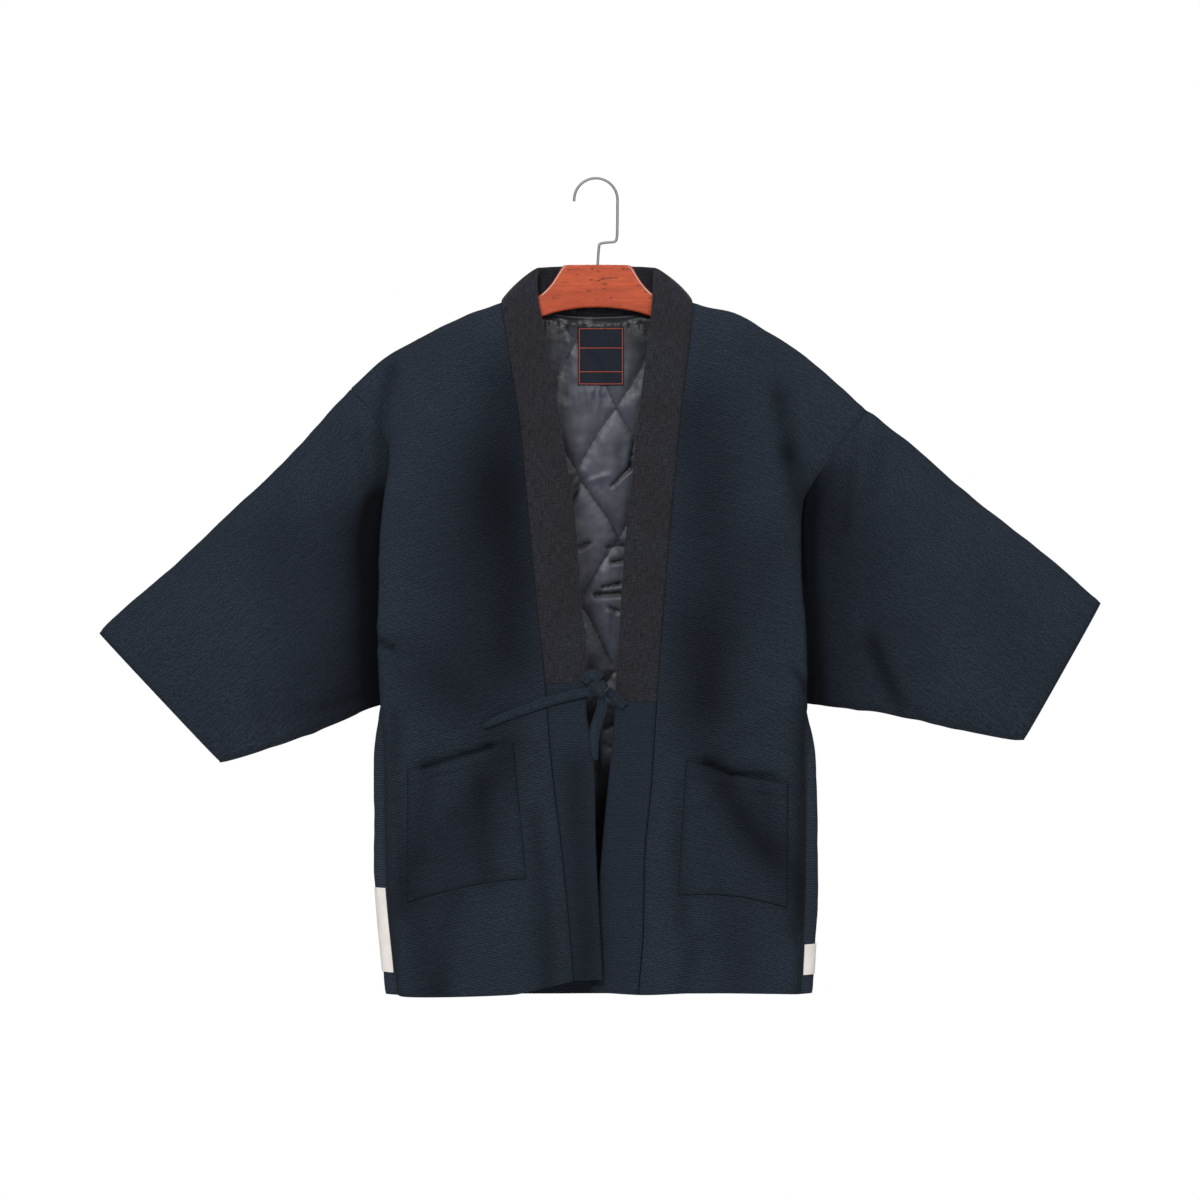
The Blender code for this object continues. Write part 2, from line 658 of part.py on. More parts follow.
SIDE_LABELS = {"right": (816.0, 913.0), "left": (881.0, 916.0)}
SIDE_LABEL_COLUMNS = 3


def side_label(side, gusset, normals, look, collection):
    """Blank label on the gusset, made from the gusset's own points."""
    top, low = SIDE_LABELS[side]
    rows = [row[:SIDE_LABEL_COLUMNS] for row in gusset]
    turns = [[normals[key_of(point)] for point in row] for row in rows]
    heights = [-np.mean([point[2] for point in row]) for row in rows]
    wanted = [top] + [h for h in heights if top + 4 < h < low - 4] + [low]
    inner, outer = [], []
    for height in wanted:
        i = int(np.clip(np.searchsorted(heights, height) - 1, 0, len(heights) - 2))
        s = (height - heights[i]) / (heights[i + 1] - heights[i])
        points = [mix(a, b, s) for a, b in zip(rows[i], rows[i + 1])]
        outs = [mix(a, b, s) for a, b in zip(turns[i], turns[i + 1])]
        inner.append([point + out * SEAM_GAP for point, out in zip(points, outs)])
        outer.append([point + out * (SEAM_GAP + LABEL_CLOTH) for point, out in zip(points, outs)])
    return plate("side_label_" + side, inner, outer, look, collection)


# Tie: middle line of each stretch, x and down, with how far it stands off what it lies on
TIE_ROUTES = {
    "tie_tail_side": ((-9, 590), (-20, 592), (-36, 596), (-52, 600), (-66, 605), (-80, 610), (-95, 615),
                      (-110, 621), (-122, 627), (-130, 630)),
    "tie_tail_down": ((5, 598.3), (6, 605), (4.5, 613), (1, 623), (-2, 633), (-3.5, 645), (-3, 656),
                      (-1.2, 668)),
    "tie_root_right": ((-14, 579), (-9, 572), (-2, 570), (5, 573)),
    "tie_root_left": ((13, 591), (18, 595), (24, 600), (30, 606)),
}
TIE_KNOT = {"x": 3.0, "down": 587.0, "size": (24.0, 15.0, 22.0)}


def strap(name, route, tree, look, collection, start_y):
    """Flat self-fabric tie lying on the front, narrowed to its ends."""
    route = [np.array(point, float) for point in route]
    depths = [front_of(tree, x, down, STRAP_WIDE * 0.6) for x, down in route]
    deepest = min(depths)
    depths = [deepest if name.startswith("tie_root") or name == "tie_tail_down" else d for d in depths]
    rings = []
    for i, (x, down) in enumerate(route):
        along = route[min(i + 1, len(route) - 1)] - route[max(i - 1, 0)]
        along /= np.hypot(*along)
        side = np.array((-along[1], 0.0, -along[0]))
        tip = 0.45 if i == len(route) - 1 and name.startswith("tie_tail") else 1.0
        y = start_y if i == 0 and name == "tie_tail_down" else depths[i] - SEAM_GAP - STRAP_THICK / 2
        centre = np.array((x, y, -down))
        ring = []
        for angle in np.linspace(0, math.tau, 8, endpoint=False):
            wide = math.copysign(abs(math.cos(angle)) ** 0.7, math.cos(angle))
            ring.append(centre + side * wide * STRAP_WIDE / 2 * tip
                        + np.array((0, math.sin(angle) * STRAP_THICK / 2, 0)))
        rings.append(ring)
    return loft(name, rings, look, collection)


def tie_knot(tree, look, collection):
    """Outer form of the knot, a pressed ball; returns how far forward its middle is."""
    x, down, size = TIE_KNOT["x"], TIE_KNOT["down"], TIE_KNOT["size"]
    y = front_of(tree, x, down, size[0]) - SEAM_GAP - size[1] / 2
    bm = bmesh.new()
    bmesh.ops.create_icosphere(bm, subdivisions=2, radius=0.5)
    for vert in bm.verts:
        vert.co = Vector((x + vert.co.x * size[0], y + vert.co.y * size[1], -down + vert.co.z * size[2])) * MM
    finish_mesh("tie_knot", bm, look, collection)
    return y


# Hanger: upper and lower edge of its right half, out and down
HANGER_TOP = ((0, 98.5), (20, 98.6), (38, 99.5), (44, 105), (49, 114), (55, 123), (64, 132), (85, 143),
              (111, 151))
HANGER_LOW = ((0, 147.6), (20, 148.5), (42, 152), (61, 157.6), (111, 176))
HANGER_TIP = 215.0
HANGER_CLEAR = 5.2
ARM_STEPS = (150, 178, 200)


def hanger_edge(side_name):
    """Outline of one half of the hanger, from the top middle round to the lower middle."""
    top = TOP[side_name]
    arm = [(out, top.at("down", out) + WALL + HANGER_CLEAR) for out in ARM_STEPS]
    tip_down = top.at("down", HANGER_TIP) + WALL + HANGER_CLEAR
    tip = [(HANGER_TIP - 4, tip_down + 1), (HANGER_TIP, tip_down + 8), (HANGER_TIP - 2, tip_down + 20),
           (HANGER_TIP - 10, tip_down + 25)]
    low = [(out, top.at("down", out) + WALL + WOOD_ARM) for out in reversed(ARM_STEPS[:2])]
    return list(HANGER_TOP) + arm + tip + low + list(reversed(HANGER_LOW))


def hanger_wood(look, collection):
    """Flat board hanger with a hump in the middle and two arms under the shoulders."""
    left = hanger_edge("left")
    right = hanger_edge("right")
    outline = [(out, down) for out, down in left] + [(-out, down) for out, down in reversed(right[1:-1])]
    curve = bpy.data.curves.new("hanger_wood", "CURVE")
    curve.dimensions = "2D"
    curve.fill_mode = "BOTH"
    curve.extrude = (WOOD / 2 - WOOD_EDGE) * MM
    curve.bevel_depth = WOOD_EDGE * MM
    curve.bevel_resolution = 2
    curve.offset = -WOOD_EDGE * MM
    spline = curve.splines.new("POLY")
    spline.points.add(len(outline) - 1)
    for point, (x, down) in zip(spline.points, outline):
        point.co = (x * MM, -down * MM, 0, 1)
    spline.use_cyclic_u = True
    obj = add_object("hanger_wood", curve, look, collection)
    obj.rotation_euler = (math.pi / 2, 0, 0)
    return obj


HOOK_CENTRE = (-1.3, -23.5)
HOOK_RADIUS = 25.0
HOOK_STEPS = 16
HOOK_SHANK = ((0.8, -98.2), (1.6, -86.0), (2.4, -76.5), (5.2, -73.4), (19.5, -72.0), (22.6, -69.4),
              (23.4, -60.0), (23.7, -40.0))


def hanger_hook(look, collection):
    """Bent wire hook that stands in the hanger's hump; a nail carries it at the origin."""
    arc = [(HOOK_CENTRE[0] + HOOK_RADIUS * math.cos(a), HOOK_CENTRE[1] + HOOK_RADIUS * math.sin(a))
           for a in np.linspace(0, math.radians(184), HOOK_STEPS)]
    route = list(HOOK_SHANK) + arc
    curve = bpy.data.curves.new("hanger_hook", "CURVE")
    curve.dimensions = "3D"
    curve.bevel_depth = WIRE / 2 * MM
    curve.bevel_resolution = 2
    curve.use_fill_caps = True
    spline = curve.splines.new("POLY")
    spline.points.add(len(route) - 1)
    for point, (x, z) in zip(spline.points, route):
        point.co = (x * MM, 0, z * MM, 1)
    return add_object("hanger_hook", curve, look, collection)


def build():
    for obj in list(bpy.data.objects):
        bpy.data.objects.remove(obj, do_unlink=True)
    jacket = bpy.data.collections.new("kimono jacket on a hanger")
    bpy.context.scene.collection.children.link(jacket)
    navy = material("navy_crinkle_cloth", (0.018, 0.024, 0.035), 0.9)
    black = material("black_slub_cloth", (0.026, 0.024, 0.027), 0.92)
    satin = material("charcoal_satin", (0.05, 0.052, 0.062), 0.45)
    cream = material("cream_tape", (0.9, 0.88, 0.84), 0.8)
    label = material("navy_label_weave", (0.02, 0.028, 0.05), 0.7)
    wood = material("red_brown_wood", (0.45, 0.12, 0.04), 0.35)
    steel = material("polished_steel", (0.62, 0.62, 0.62), 0.25, 1.0)

    grids = {side: patches(side) for side in SIDES}
    faces = {(side, name): outward(list(quads(grid)), (side == "left") == (name in ("front", "gusset")))
             for side in SIDES for name, grid in grids[side].items()}
    normals = seam_normals(faces.values())
    pieces = {}
    for side in SIDES:
        pieces["body_" + side] = faces[side, "front"] + faces[side, "back"]
        pieces["sleeve_" + side] = faces[side, "sleeve"]
        pieces["gusset_" + side] = faces[side, "gusset"]
    walls = {name: cloth_wall(name, sheet, normals, 0.0, WALL, navy, jacket) for name, sheet in pieces.items()}

    lining_rows = [row for row in range(len(ROWS)) if ROWS[row] < 1.99]
    lining_faces = []
    for side in SIDES:
        back = grids[side]["back"]
        middle = [back[row][:len(NECK_X)] for row in lining_rows]
        beside = [back[row][len(NECK_X) - 1:len(NECK_X) + len(MAIN)] for row in lining_rows if ROWS[row] >= 0.24]
        for part in (middle, beside):
            lining_faces += outward(list(quads(part)), side == "right")
    near = WALL + SEAM_GAP
    lining = cloth_wall("lining_back", lining_faces, normals, near,
                        lambda point: near + LINING + quilt_rise(point), satin, jacket)

    stations = ([front_station("right", row) for row in reversed(UP_ROWS)]
                + [neck_station("right", x) for x in reversed(NECK_X)]
                + [neck_station("left", x) for x in NECK_X[1:]]
                + [front_station("left", row) for row in UP_ROWS])
    collar = band("collar", stations, normals, (True, True), black, jacket)
    bands = [band("band_" + side, [front_station(side, row) for row in [1.0] + LOW_ROWS], normals,
                  (True, False), navy, jacket) for side in SIDES]

    for side in SIDES:
        pocket(side, surface([walls["body_" + side]]), navy, jacket)
        side_label(side, grids[side]["gusset"], normals, cream, jacket)
    neck_label(surface([lining]), label, jacket)
    front = surface([walls["body_right"], walls["body_left"], collar] + bands)
    knot_y = tie_knot(front, navy, jacket)
    for name, route in TIE_ROUTES.items():
        strap(name, route, front, navy, jacket, knot_y)
    hanger_wood(wood, jacket)
    hanger_hook(steel, jacket)


build()
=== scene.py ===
"""Padded kimono jacket hanging on a flat wooden hanger.

The cloth is laid out again from the jacket's own sizes, fine enough for its creases,
quilting and seams. Tables are in millimetres: out is away from the middle, down is
below the hook, fwd is towards the front. "right" and "left" are the wearer's.
"""

import math

import bpy
import numpy as np
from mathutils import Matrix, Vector, kdtree, noise
from mathutils.bvhtree import BVHTree


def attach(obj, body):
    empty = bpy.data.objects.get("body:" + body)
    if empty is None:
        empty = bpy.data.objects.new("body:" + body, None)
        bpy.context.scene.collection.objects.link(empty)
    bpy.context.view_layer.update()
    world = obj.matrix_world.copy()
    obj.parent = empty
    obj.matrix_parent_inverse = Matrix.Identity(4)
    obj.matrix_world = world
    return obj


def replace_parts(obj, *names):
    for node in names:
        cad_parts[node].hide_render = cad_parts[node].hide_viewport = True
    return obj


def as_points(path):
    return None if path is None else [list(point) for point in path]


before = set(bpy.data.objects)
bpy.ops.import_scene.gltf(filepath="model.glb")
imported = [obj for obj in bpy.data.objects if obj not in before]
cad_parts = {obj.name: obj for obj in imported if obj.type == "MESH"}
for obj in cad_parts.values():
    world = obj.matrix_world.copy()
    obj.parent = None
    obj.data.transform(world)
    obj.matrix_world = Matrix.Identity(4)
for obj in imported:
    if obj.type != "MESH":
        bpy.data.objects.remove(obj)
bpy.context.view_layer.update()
MM = 0.001
SCENE = bpy.context.scene
SCENE.view_settings.view_transform = "Standard"

# Camera: level, straight at the front, far enough away to flatten the view as the photo does
CAMERA_AT = (0.0035, -6.02, -0.4853)
CAMERA_LENS = 156.5

WALL = 4.0               # outer cloth, wadding and inner cloth together
LINING = 1.6
LINING_END = 1.925       # the row where the lining stops
QUILT_RISE = 4.0
QUILT_WIDE = 92.0        # a diamond of the quilting
QUILT_TALL = 152.0
QUILT_AT = (23.0, 262.0)
ARMPIT_DOWN = 604.0      # row 1
LEVEL_DOWN = 300.0       # row LEVEL_AT, and from here the rows run level
LEVEL_AT = 0.4
HEM_DOWN = 941.0         # row 2 of the back
ROW_STEP = QUILT_TALL / 4
NECK_SIDE = (111.0, 141.0)   # out and down of the neck point
SHOULDER_EASE = 1.7
SIDE_FALL = 0.12         # share of its depth that a panel loses towards its roll
REAR_ROLL = 30.0         # from the back's roll to its seam
UNDER_SAG = 2.0
POCKET_CLOTH = 2.4
POCKET_MOUTH = 9.0       # how far a pocket gapes
LABEL_CLOTH = 0.8
STRAP_WIDE = 11.5
STRAP_ROUND = 2.2        # way round a strap, in widths
RIM_ANGLE = 55.0         # degrees from which an edge stays sharp
SEAM_PINCH = 1.2
STROKE_DRIFT = 12.0      # how far shade strokes wander
STROKE_MOTTLE = 0.3      # how much their strength varies
SIDES = {"right": -1, "left": 1}


def hermite(start, leave, end, arrive, s):
    """Cubic from start to end with the tangents leave and arrive."""
    rise = s * s * (3 - 2 * s)
    return start * (1 - rise) + end * rise + leave * s * (1 - s) ** 2 - arrive * s * s * (1 - s)


def mix(a, b, s):
    return a + (b - a) * s


def smooth(s):
    s = np.clip(s, 0.0, 1.0)
    return s * s * (3 - 2 * s)


def stack(x, y, z):
    return np.stack(np.broadcast_arrays(x, y, z), axis=-1)


def bell(distance, width):
    """1 at no distance, falling softly to 0 past the width."""
    return np.exp(-(distance / width) ** 2)


def unit(vectors):
    return vectors / np.linalg.norm(vectors, axis=-1, keepdims=True)


def travelled(line):
    """Distance along a line of points, from 0."""
    return np.concatenate([[0], np.cumsum(np.linalg.norm(np.diff(line, axis=0), axis=1))])


def add_object(name, data):
    obj = bpy.data.objects.new(name, data)
    SCENE.collection.objects.link(obj)
    return obj


def rows_of(text):
    """Rows of numbers, with a bar between two rows."""
    return np.array([row.split() for row in text.split("|")], float)


class Table:
    """A short table of sizes, read between its rows along a smooth curve."""

    def __init__(self, names, text):
        self.names = names.split()
        self.rows = rows_of(text)
        self.key = self.rows[:, 0]
        self.tangents = [self.slopes(column) for column in self.rows.T]

    def slopes(self, value):
        step = np.diff(self.key)
        slope = np.diff(value) / step
        tangent = np.concatenate(([slope[0]], np.zeros(len(slope) - 1), [slope[-1]]))
        for i in range(1, len(slope)):
            if slope[i - 1] * slope[i] > 0:
                weight = 3 * (step[i - 1] + step[i])
                before = 2 * step[i] + step[i - 1]
                after = step[i] + 2 * step[i - 1]
                tangent[i] = weight / (before / slope[i - 1] + after / slope[i])
        return tangent

    def at(self, name, key):
        key = np.clip(key, self.key[0], self.key[-1])
        column = self.names.index(name)
        value, tangent = self.rows[:, column], self.tangents[column]
        i = np.clip(np.searchsorted(self.key, key) - 1, 0, len(self.key) - 2)
        step = self.key[i + 1] - self.key[i]
        s = (key - self.key[i]) / step
        return hermite(value[i], tangent[i] * step, value[i + 1], tangent[i + 1] * step, s)


# Outlines and depths of the parts; a row is 0 at the shoulder, 1 at the armpit and 2 at the hem
TOP = {
    "right": Table("out down", """
    0 96 | 60 104 | 92 120 | 111 141 | 148 156 | 183 172 | 215 189 | 243 205 | 279 237 | 311 269 | 338 301 |
    387 350 | 437 398 | 488 446 | 544 494 | 575 523
"""),
    "left": Table("out down", """
    0 96 | 60 104 | 92 120 | 111 141 | 162 156 | 192 172 | 218 188 | 241 205 | 278 237 | 316 269 | 358 301 |
    414 350 | 473 398 | 534 446 | 582 488
"""),
}
UNDER = {
    "right": Table("out down", "240 604 | 262 611 | 303 627 | 345 643 | 383 656 | 435 672"),
    "left": Table("out down", "232 604 | 261 606 | 322 613 | 379 625 | 450 639 | 493 646"),
}
BAND_SEAM = {
    "right": Table("down out", """
    141 111 | 170 107 | 213 100 | 285 89 | 393 79 | 508 68 | 581 60 | 658 54 | 715 48 | 761 42 | 917 27 |
    941 25
"""),
    "left": Table("down out", """
    141 111 | 190 107 | 252 99 | 376 87 | 531 74 | 602 69 | 694 63 | 789 55 | 857 54 | 937 48
"""),
}
BAND_EDGE = {
    "right": Table("seam_down out down fwd", """
    141 67 101 -2 | 150 69 113 6 | 165 68 134 12 | 190 62 166 18 | 230 53 214 28 | 300 40 294 41 |
    358 30 358 48 | 405 24 405 52 | 477 19 477 55 | 562 11 562 56 | 609 12 609 57 | 661 4 661 57 |
    775 1 773 56 | 922 -6 920 53
"""),
    "left": Table("seam_down out down fwd", """
    141 66 101 -2 | 150 65 113 6 | 165 64 134 12 | 190 61 166 18 | 230 55 214 28 | 300 45 297 41 |
    358 39 358 48 | 422 32 422 52 | 515 26 515 54 | 582 22 582 53 | 614 20 614 52 | 683 14 683 48 |
    721 10 721 45 | 941 -8 938 37
"""),
}
NECK_EDGE = Table("seam_out out down back", "0 0 99 26 | 28 18 99 25 | 55 36 99 22 | 85 53 99.5 14 | 111 67 101 2")
NECKLINE = Table("out down", "0 157 | 28 156 | 55 152 | 85 147 | 111 141")
COLLAR_END = {"right": 581.0, "left": 602.0}
HEM = {
    "right": Table("out down", "-6 922 | 5 919 | 27 922 | 61 930 | 99 938 | 200 941 | 229 940 | 236 937"),
    "left": Table("out down", "-8 938 | 54 938 | 116 936 | 198 937 | 250 938"),
}
HANG = Table("drop front back", """
    0 0 0 | 3 6 5.5 | 8 10 9 | 18 14.5 13 | 40 21 17 | 90 30 20 | 160 38 22.5 | 250 45 24.5 | 350 50 26 |
    450 52 27 | 600 50 26 | 800 45 24
""")
SIDE = {
    "right": Table("row roll push seam down fwd arrive turn rear_out rear", """
    0 208 50 284 241 0 50 0 284 0 |
    0.1 206 40 278 249 8 45 4 279 8 |
    0.2 209 38 264 263 12 30 6 272 12 |
    0.3 212 46 252 286 14 12 9 266 14 |
    0.4 219 60 239 316 15 -12 15 259 15 |
    0.55 232 74 230 374 16 -38 22 251 15 |
    0.7 239 75 228 440 17 -50 22 246 15 |
    0.85 240 72 230 522 17 -44 22 243 14 |
    1 238 60 241 604 16 -6 22 240 12 |
    1.2 236 30 245 671 26 2 14 243 15 |
    1.5 232 28 244 772 29 6 12 241 17 |
    2 219 28 230 939 28 6 12 231 16
"""),
    "left": Table("row roll push seam down fwd arrive turn rear_out rear", """
    0 203 60 312 266 0 60 0 312 0 |
    0.1 202 50 306 274 8 60 4 306 8 |
    0.2 203 45 294 290 12 50 6 296 12 |
    0.3 206 45 275 315 15 35 8 283 14 |
    0.4 211 55 252 346 16 5 12 270 15 |
    0.55 216 65 230 395 17 -30 18 256 15 |
    0.7 221 75 217 457 17 -50 22 246 15 |
    0.85 229 75 214 528 17 -50 22 238 14 |
    1 229 68 230 604 16 -12 22 232 12 |
    1.2 227 35 240 671 26 2 14 238 15 |
    1.5 226 30 241 772 29 6 12 240 17 |
    2 222 28 235 938 28 6 12 235 16
"""),
}
GUSSET_BULGE = Table("row out", "1 9 | 1.15 13 | 1.4 14 | 1.7 15 | 2 14")
SLEEVE_DEPTH = Table("along half under", "0 17 14 | 0.25 20 12 | 0.5 21 9 | 0.75 18 6 | 1 13 4")
# Folds of the cloth, each a soft ridge or trough along a line.
# Columns: x0 down0 x1 down1 half_width rise
FRONT_FOLDS = rows_of("""
    -95 300 -80 560 42 -5 | -150 330 -185 560 48 4.5 | -70 640 -190 730 34 3.5 | -62 760 -52 930 22 4 |
    -112 700 -150 900 36 -3.5 | 150 320 140 590 40 -5 | 200 400 185 620 34 4 | 215 610 110 700 34 3.5 |
    120 690 165 880 38 -3.5 | 90 640 78 900 30 3
""")
BACK_FOLDS = rows_of("""
    -150 280 -120 620 46 3.5 | -60 330 -75 800 40 -3 | 20 420 10 900 46 3 | 95 300 70 700 42 -3 |
    160 300 150 680 44 3.5 | -165 640 -140 900 40 3 | 150 660 175 900 40 3
""")
SLEEVE_FOLDS = rows_of("""
    -300 330 -262 560 26 -7 | -345 360 -325 600 30 5 | -430 430 -395 610 36 -3 | 262 340 262 560 22 -7 |
    305 330 300 590 30 5 | 330 480 352 612 20 -5 | 430 420 440 600 36 3
""")
# Soft shade held in the dips, in the same columns with its strength last
FRONT_SHADES = rows_of("""
    -104 250 -100 530 44 0.5 | -132 360 -160 560 58 0.3 | -215 545 -130 620 30 0.18 | -234 222 -247 292 9 0.3 |
    122 290 118 600 46 0.42 | 190 440 150 600 44 0.24 | -100 652 -196 775 24 0.26 | -112 700 -176 812 30 0.16 |
    -204 676 -120 652 3 0.7 | -200 680 -216 810 14 0.28 | -140 690 -126 800 14 0.22 | -206 842 -190 932 22 0.35 |
    -164 830 -176 930 14 0.22 | -70 735 -56 935 12 0.36 | -20 680 -14 935 17 0.4 | 132 676 190 770 18 0.3 |
    124 670 157 683 3 0.7 | 157 683 210 687 2.5 0.6 | 150 700 216 815 26 0.26 | 196 705 220 800 16 0.24 |
    212 252 222 318 12 0.45 | 222 318 234 372 12 0.45 | -262 529 -238 540 4 0.6 | 230 566 240 588 4 0.5 |
    90 705 97 855 10 0.26 | 150 850 165 920 30 0.2 | 112 880 104 935 12 0.2 | 238 600 226 860 12 0.4 |
    -236 620 -226 840 9 0.3
""")
SLEEVE_SHADES = rows_of("""
    -246 300 -252 380 11 0.5 | -254 385 -256 620 17 0.6 | -260 400 -264 600 34 0.5 | -284 420 -286 600 44 0.3 |
    -345 430 -330 600 42 0.24 | 236 290 240 350 10 0.5 | 244 340 246 605 15 0.7 | 256 350 262 605 30 0.38 |
    286 372 290 570 38 0.32 | 322 420 352 560 38 0.22 | 316 535 348 600 11 0.45
""")
LINING_SHADES = rows_of("""
    15 572 22 592 9 0.9 | -12 566 -4 578 9 0.8 | -14 500 -12 560 6 0.5 | -48 160 -40 262 15 0.62 |
    46 160 44 240 9 0.4 | -6 150 8 152 40 0.35 | -70 160 70 160 8 0.9 | -70 178 70 178 16 0.3 | 0 170 0 410 75 0.26 |
    -30 290 -26 330 8 0.4 | 28 300 26 330 7 0.4
""")
# Small creases that only the surface shows, in the same columns
FRONT_CREASES = rows_of("""
    -262 529 -236 540 6 -3 | -255 515 -215 522 9 1.6 | -252 545 -210 566 10 1.8 | -240 560 -205 640 12 -1.4 |
    -205 590 -120 640 14 1.5 | -190 650 -130 800 16 -1.5 | -140 640 -100 740 13 1.3 | -100 640 -84 800 10 -1.2 |
    -60 655 -48 920 6 -1.4 | -36 660 -24 920 7 1.2 | -225 700 -205 930 12 1.4 | 228 566 240 588 6 -2.6 |
    200 556 238 574 9 1.6 | 190 590 235 606 9 1.8 | 205 606 130 660 13 1.5 | 180 640 110 700 12 -1.4 |
    115 640 160 800 15 1.4 | 196 700 214 930 13 -1.2 | 76 640 70 920 8 1.1 | 152 170 140 300 26 1.4 |
    -140 170 -120 300 24 1.2 | -234 222 -247 292 9 -1.6 | -222 222 -234 292 11 1.2 | -190 200 -170 330 18 -1 |
    205 205 200 330 18 -1
""")
BACK_CREASES = rows_of("""
    -236 560 -180 600 12 1.6 | -230 590 -170 660 12 -1.4 | -90 210 -60 380 20 1.2 | -200 660 -170 900 16 1.4 |
    236 560 180 610 12 1.6 | 226 600 160 680 12 -1.4 | 80 200 60 360 20 -1.2 | 205 680 190 910 15 1.4 |
    -30 500 -22 900 18 1.3 | 60 520 70 880 18 -1.2
""")
SLEEVE_CREASES = rows_of("""
    -276 300 -262 380 9 -1.8 | -270 560 -330 600 10 1.8 | -262 590 -340 620 8 -1.6 | -290 430 -285 560 12 1.5 |
    -350 560 -330 632 9 1.5 | -395 590 -380 648 9 -1.3 | -480 480 -430 600 18 1.4 | 300 300 286 400 9 -1.8 |
    318 286 300 370 7 1.4 | 336 300 322 360 8 -1.2 | 300 520 352 600 11 2.2 | 330 560 372 620 9 -1.8 |
    266 570 300 606 8 1.6 | 400 560 410 626 9 1.3 | 480 470 450 600 18 1.3
""")

UP_ROWS = [0.0, 0.05, 0.1, 0.16, 0.24, 0.32] + [
    mix(LEVEL_AT, 1.0, i * ROW_STEP / (ARMPIT_DOWN - LEVEL_DOWN)) for i in range(9)]
LOW_ROWS = [1 + i * ROW_STEP / (HEM_DOWN - ARMPIT_DOWN) for i in range(1, 9)] + [2.0]
MAIN = [i / 6 for i in range(7)]
OUTER = [0.0, 0.14, 0.32, 0.5, 0.7, 1.0]
NECK_X = [0.0, 23.0, 46.0, 69.0, 92.0, 111.0]
GUSSET = [0.0, 0.3, 0.65, 1.0]
SLEEVE = [0.0, 0.06, 0.14, 0.24, 0.36, 0.5, 0.66, 0.83, 1.0]


def dense(stations, count):
    """Stations with count steps between each pair."""
    return np.array([mix(a, b, k / count) for a, b in zip(stations, stations[1:]) for k in range(count)]
                    + [stations[-1]])


def fold_rise(folds, x, down):
    """Sum of the soft ridges and troughs at a place."""
    total = 0.0
    for x0, down0, x1, down1, half_width, rise in folds:
        length = math.hypot(x1 - x0, down1 - down0)
        ux, ud = (x1 - x0) / length, (down1 - down0) / length
        travel = (x - x0) * ux + (down - down0) * ud
        beside = (x - x0) * ud - (down - down0) * ux
        past = np.maximum(np.maximum(-travel, travel - length), 0.0)
        total = total + rise * np.exp(-(beside / half_width) ** 2 - (past / (1.4 * half_width)) ** 2)
    return total


def down_at(side, out, row, neck):
    """Height of a panel's row at a distance from the middle; neck is True on the back."""
    centre = NECKLINE.at("down", out) if neck else NECK_SIDE[1]
    top = np.where(out < NECK_SIDE[0], centre, TOP[side].at("down", out))
    low = HEM_DOWN if neck else HEM[side].at("down", out)
    upper = mix(top, LEVEL_DOWN, np.clip(row / LEVEL_AT, 0, 1) ** SHOULDER_EASE)
    level = mix(LEVEL_DOWN, ARMPIT_DOWN, (row - LEVEL_AT) / (1 - LEVEL_AT))
    return np.where(row <= LEVEL_AT, upper, np.where(row <= 1, level, mix(ARMPIT_DOWN, low, row - 1)))


def front_main(side, u, row):
    """Front panel from its band seam (u 0) to where it rolls over at the side (u 1)."""
    shift = (COLLAR_END[side] - ARMPIT_DOWN) * np.where(
        row <= 1, smooth((row - LEVEL_AT) / (1 - LEVEL_AT)), 2 - row)
    seam_down = down_at(side, BAND_SEAM[side].rows[-1][1], row, False) + shift
    seam_out = BAND_SEAM[side].at("out", seam_down)
    out = mix(seam_out, SIDE[side].at("roll", row), u)
    down = down_at(side, out, row, False) + shift * (1 - u)
    down = np.where(u == 0, seam_down, down)
    drop = np.maximum(down - TOP[side].at("down", out), 0.0)
    fwd = HANG.at("front", drop) * (1 - SIDE_FALL * u * u)
    x = SIDES[side] * out
    fwd = fwd + fold_rise(FRONT_FOLDS, x, down) * smooth(drop / 120)
    return stack(x, -fwd, -down)


def back_main(side, kind, value, row):
    """Back panel, at a place in NECK_X or past it in MAIN."""
    roll = np.minimum(SIDE[side].at("roll", row), SIDE[side].at("rear_out", row) - REAR_ROLL)
    out = value + 0 * row if kind == "neck" else mix(NECK_SIDE[0], roll, value)
    down = down_at(side, out, row, True)
    drop = np.maximum(down - TOP[side].at("down", out), 0.0)
    back = HANG.at("back", drop) * (1 - SIDE_FALL * (out / roll) ** 2)
    x = SIDES[side] * out
    back = back + fold_rise(BACK_FOLDS, x, down) * smooth(drop / 120)
    return stack(x, back, -down)


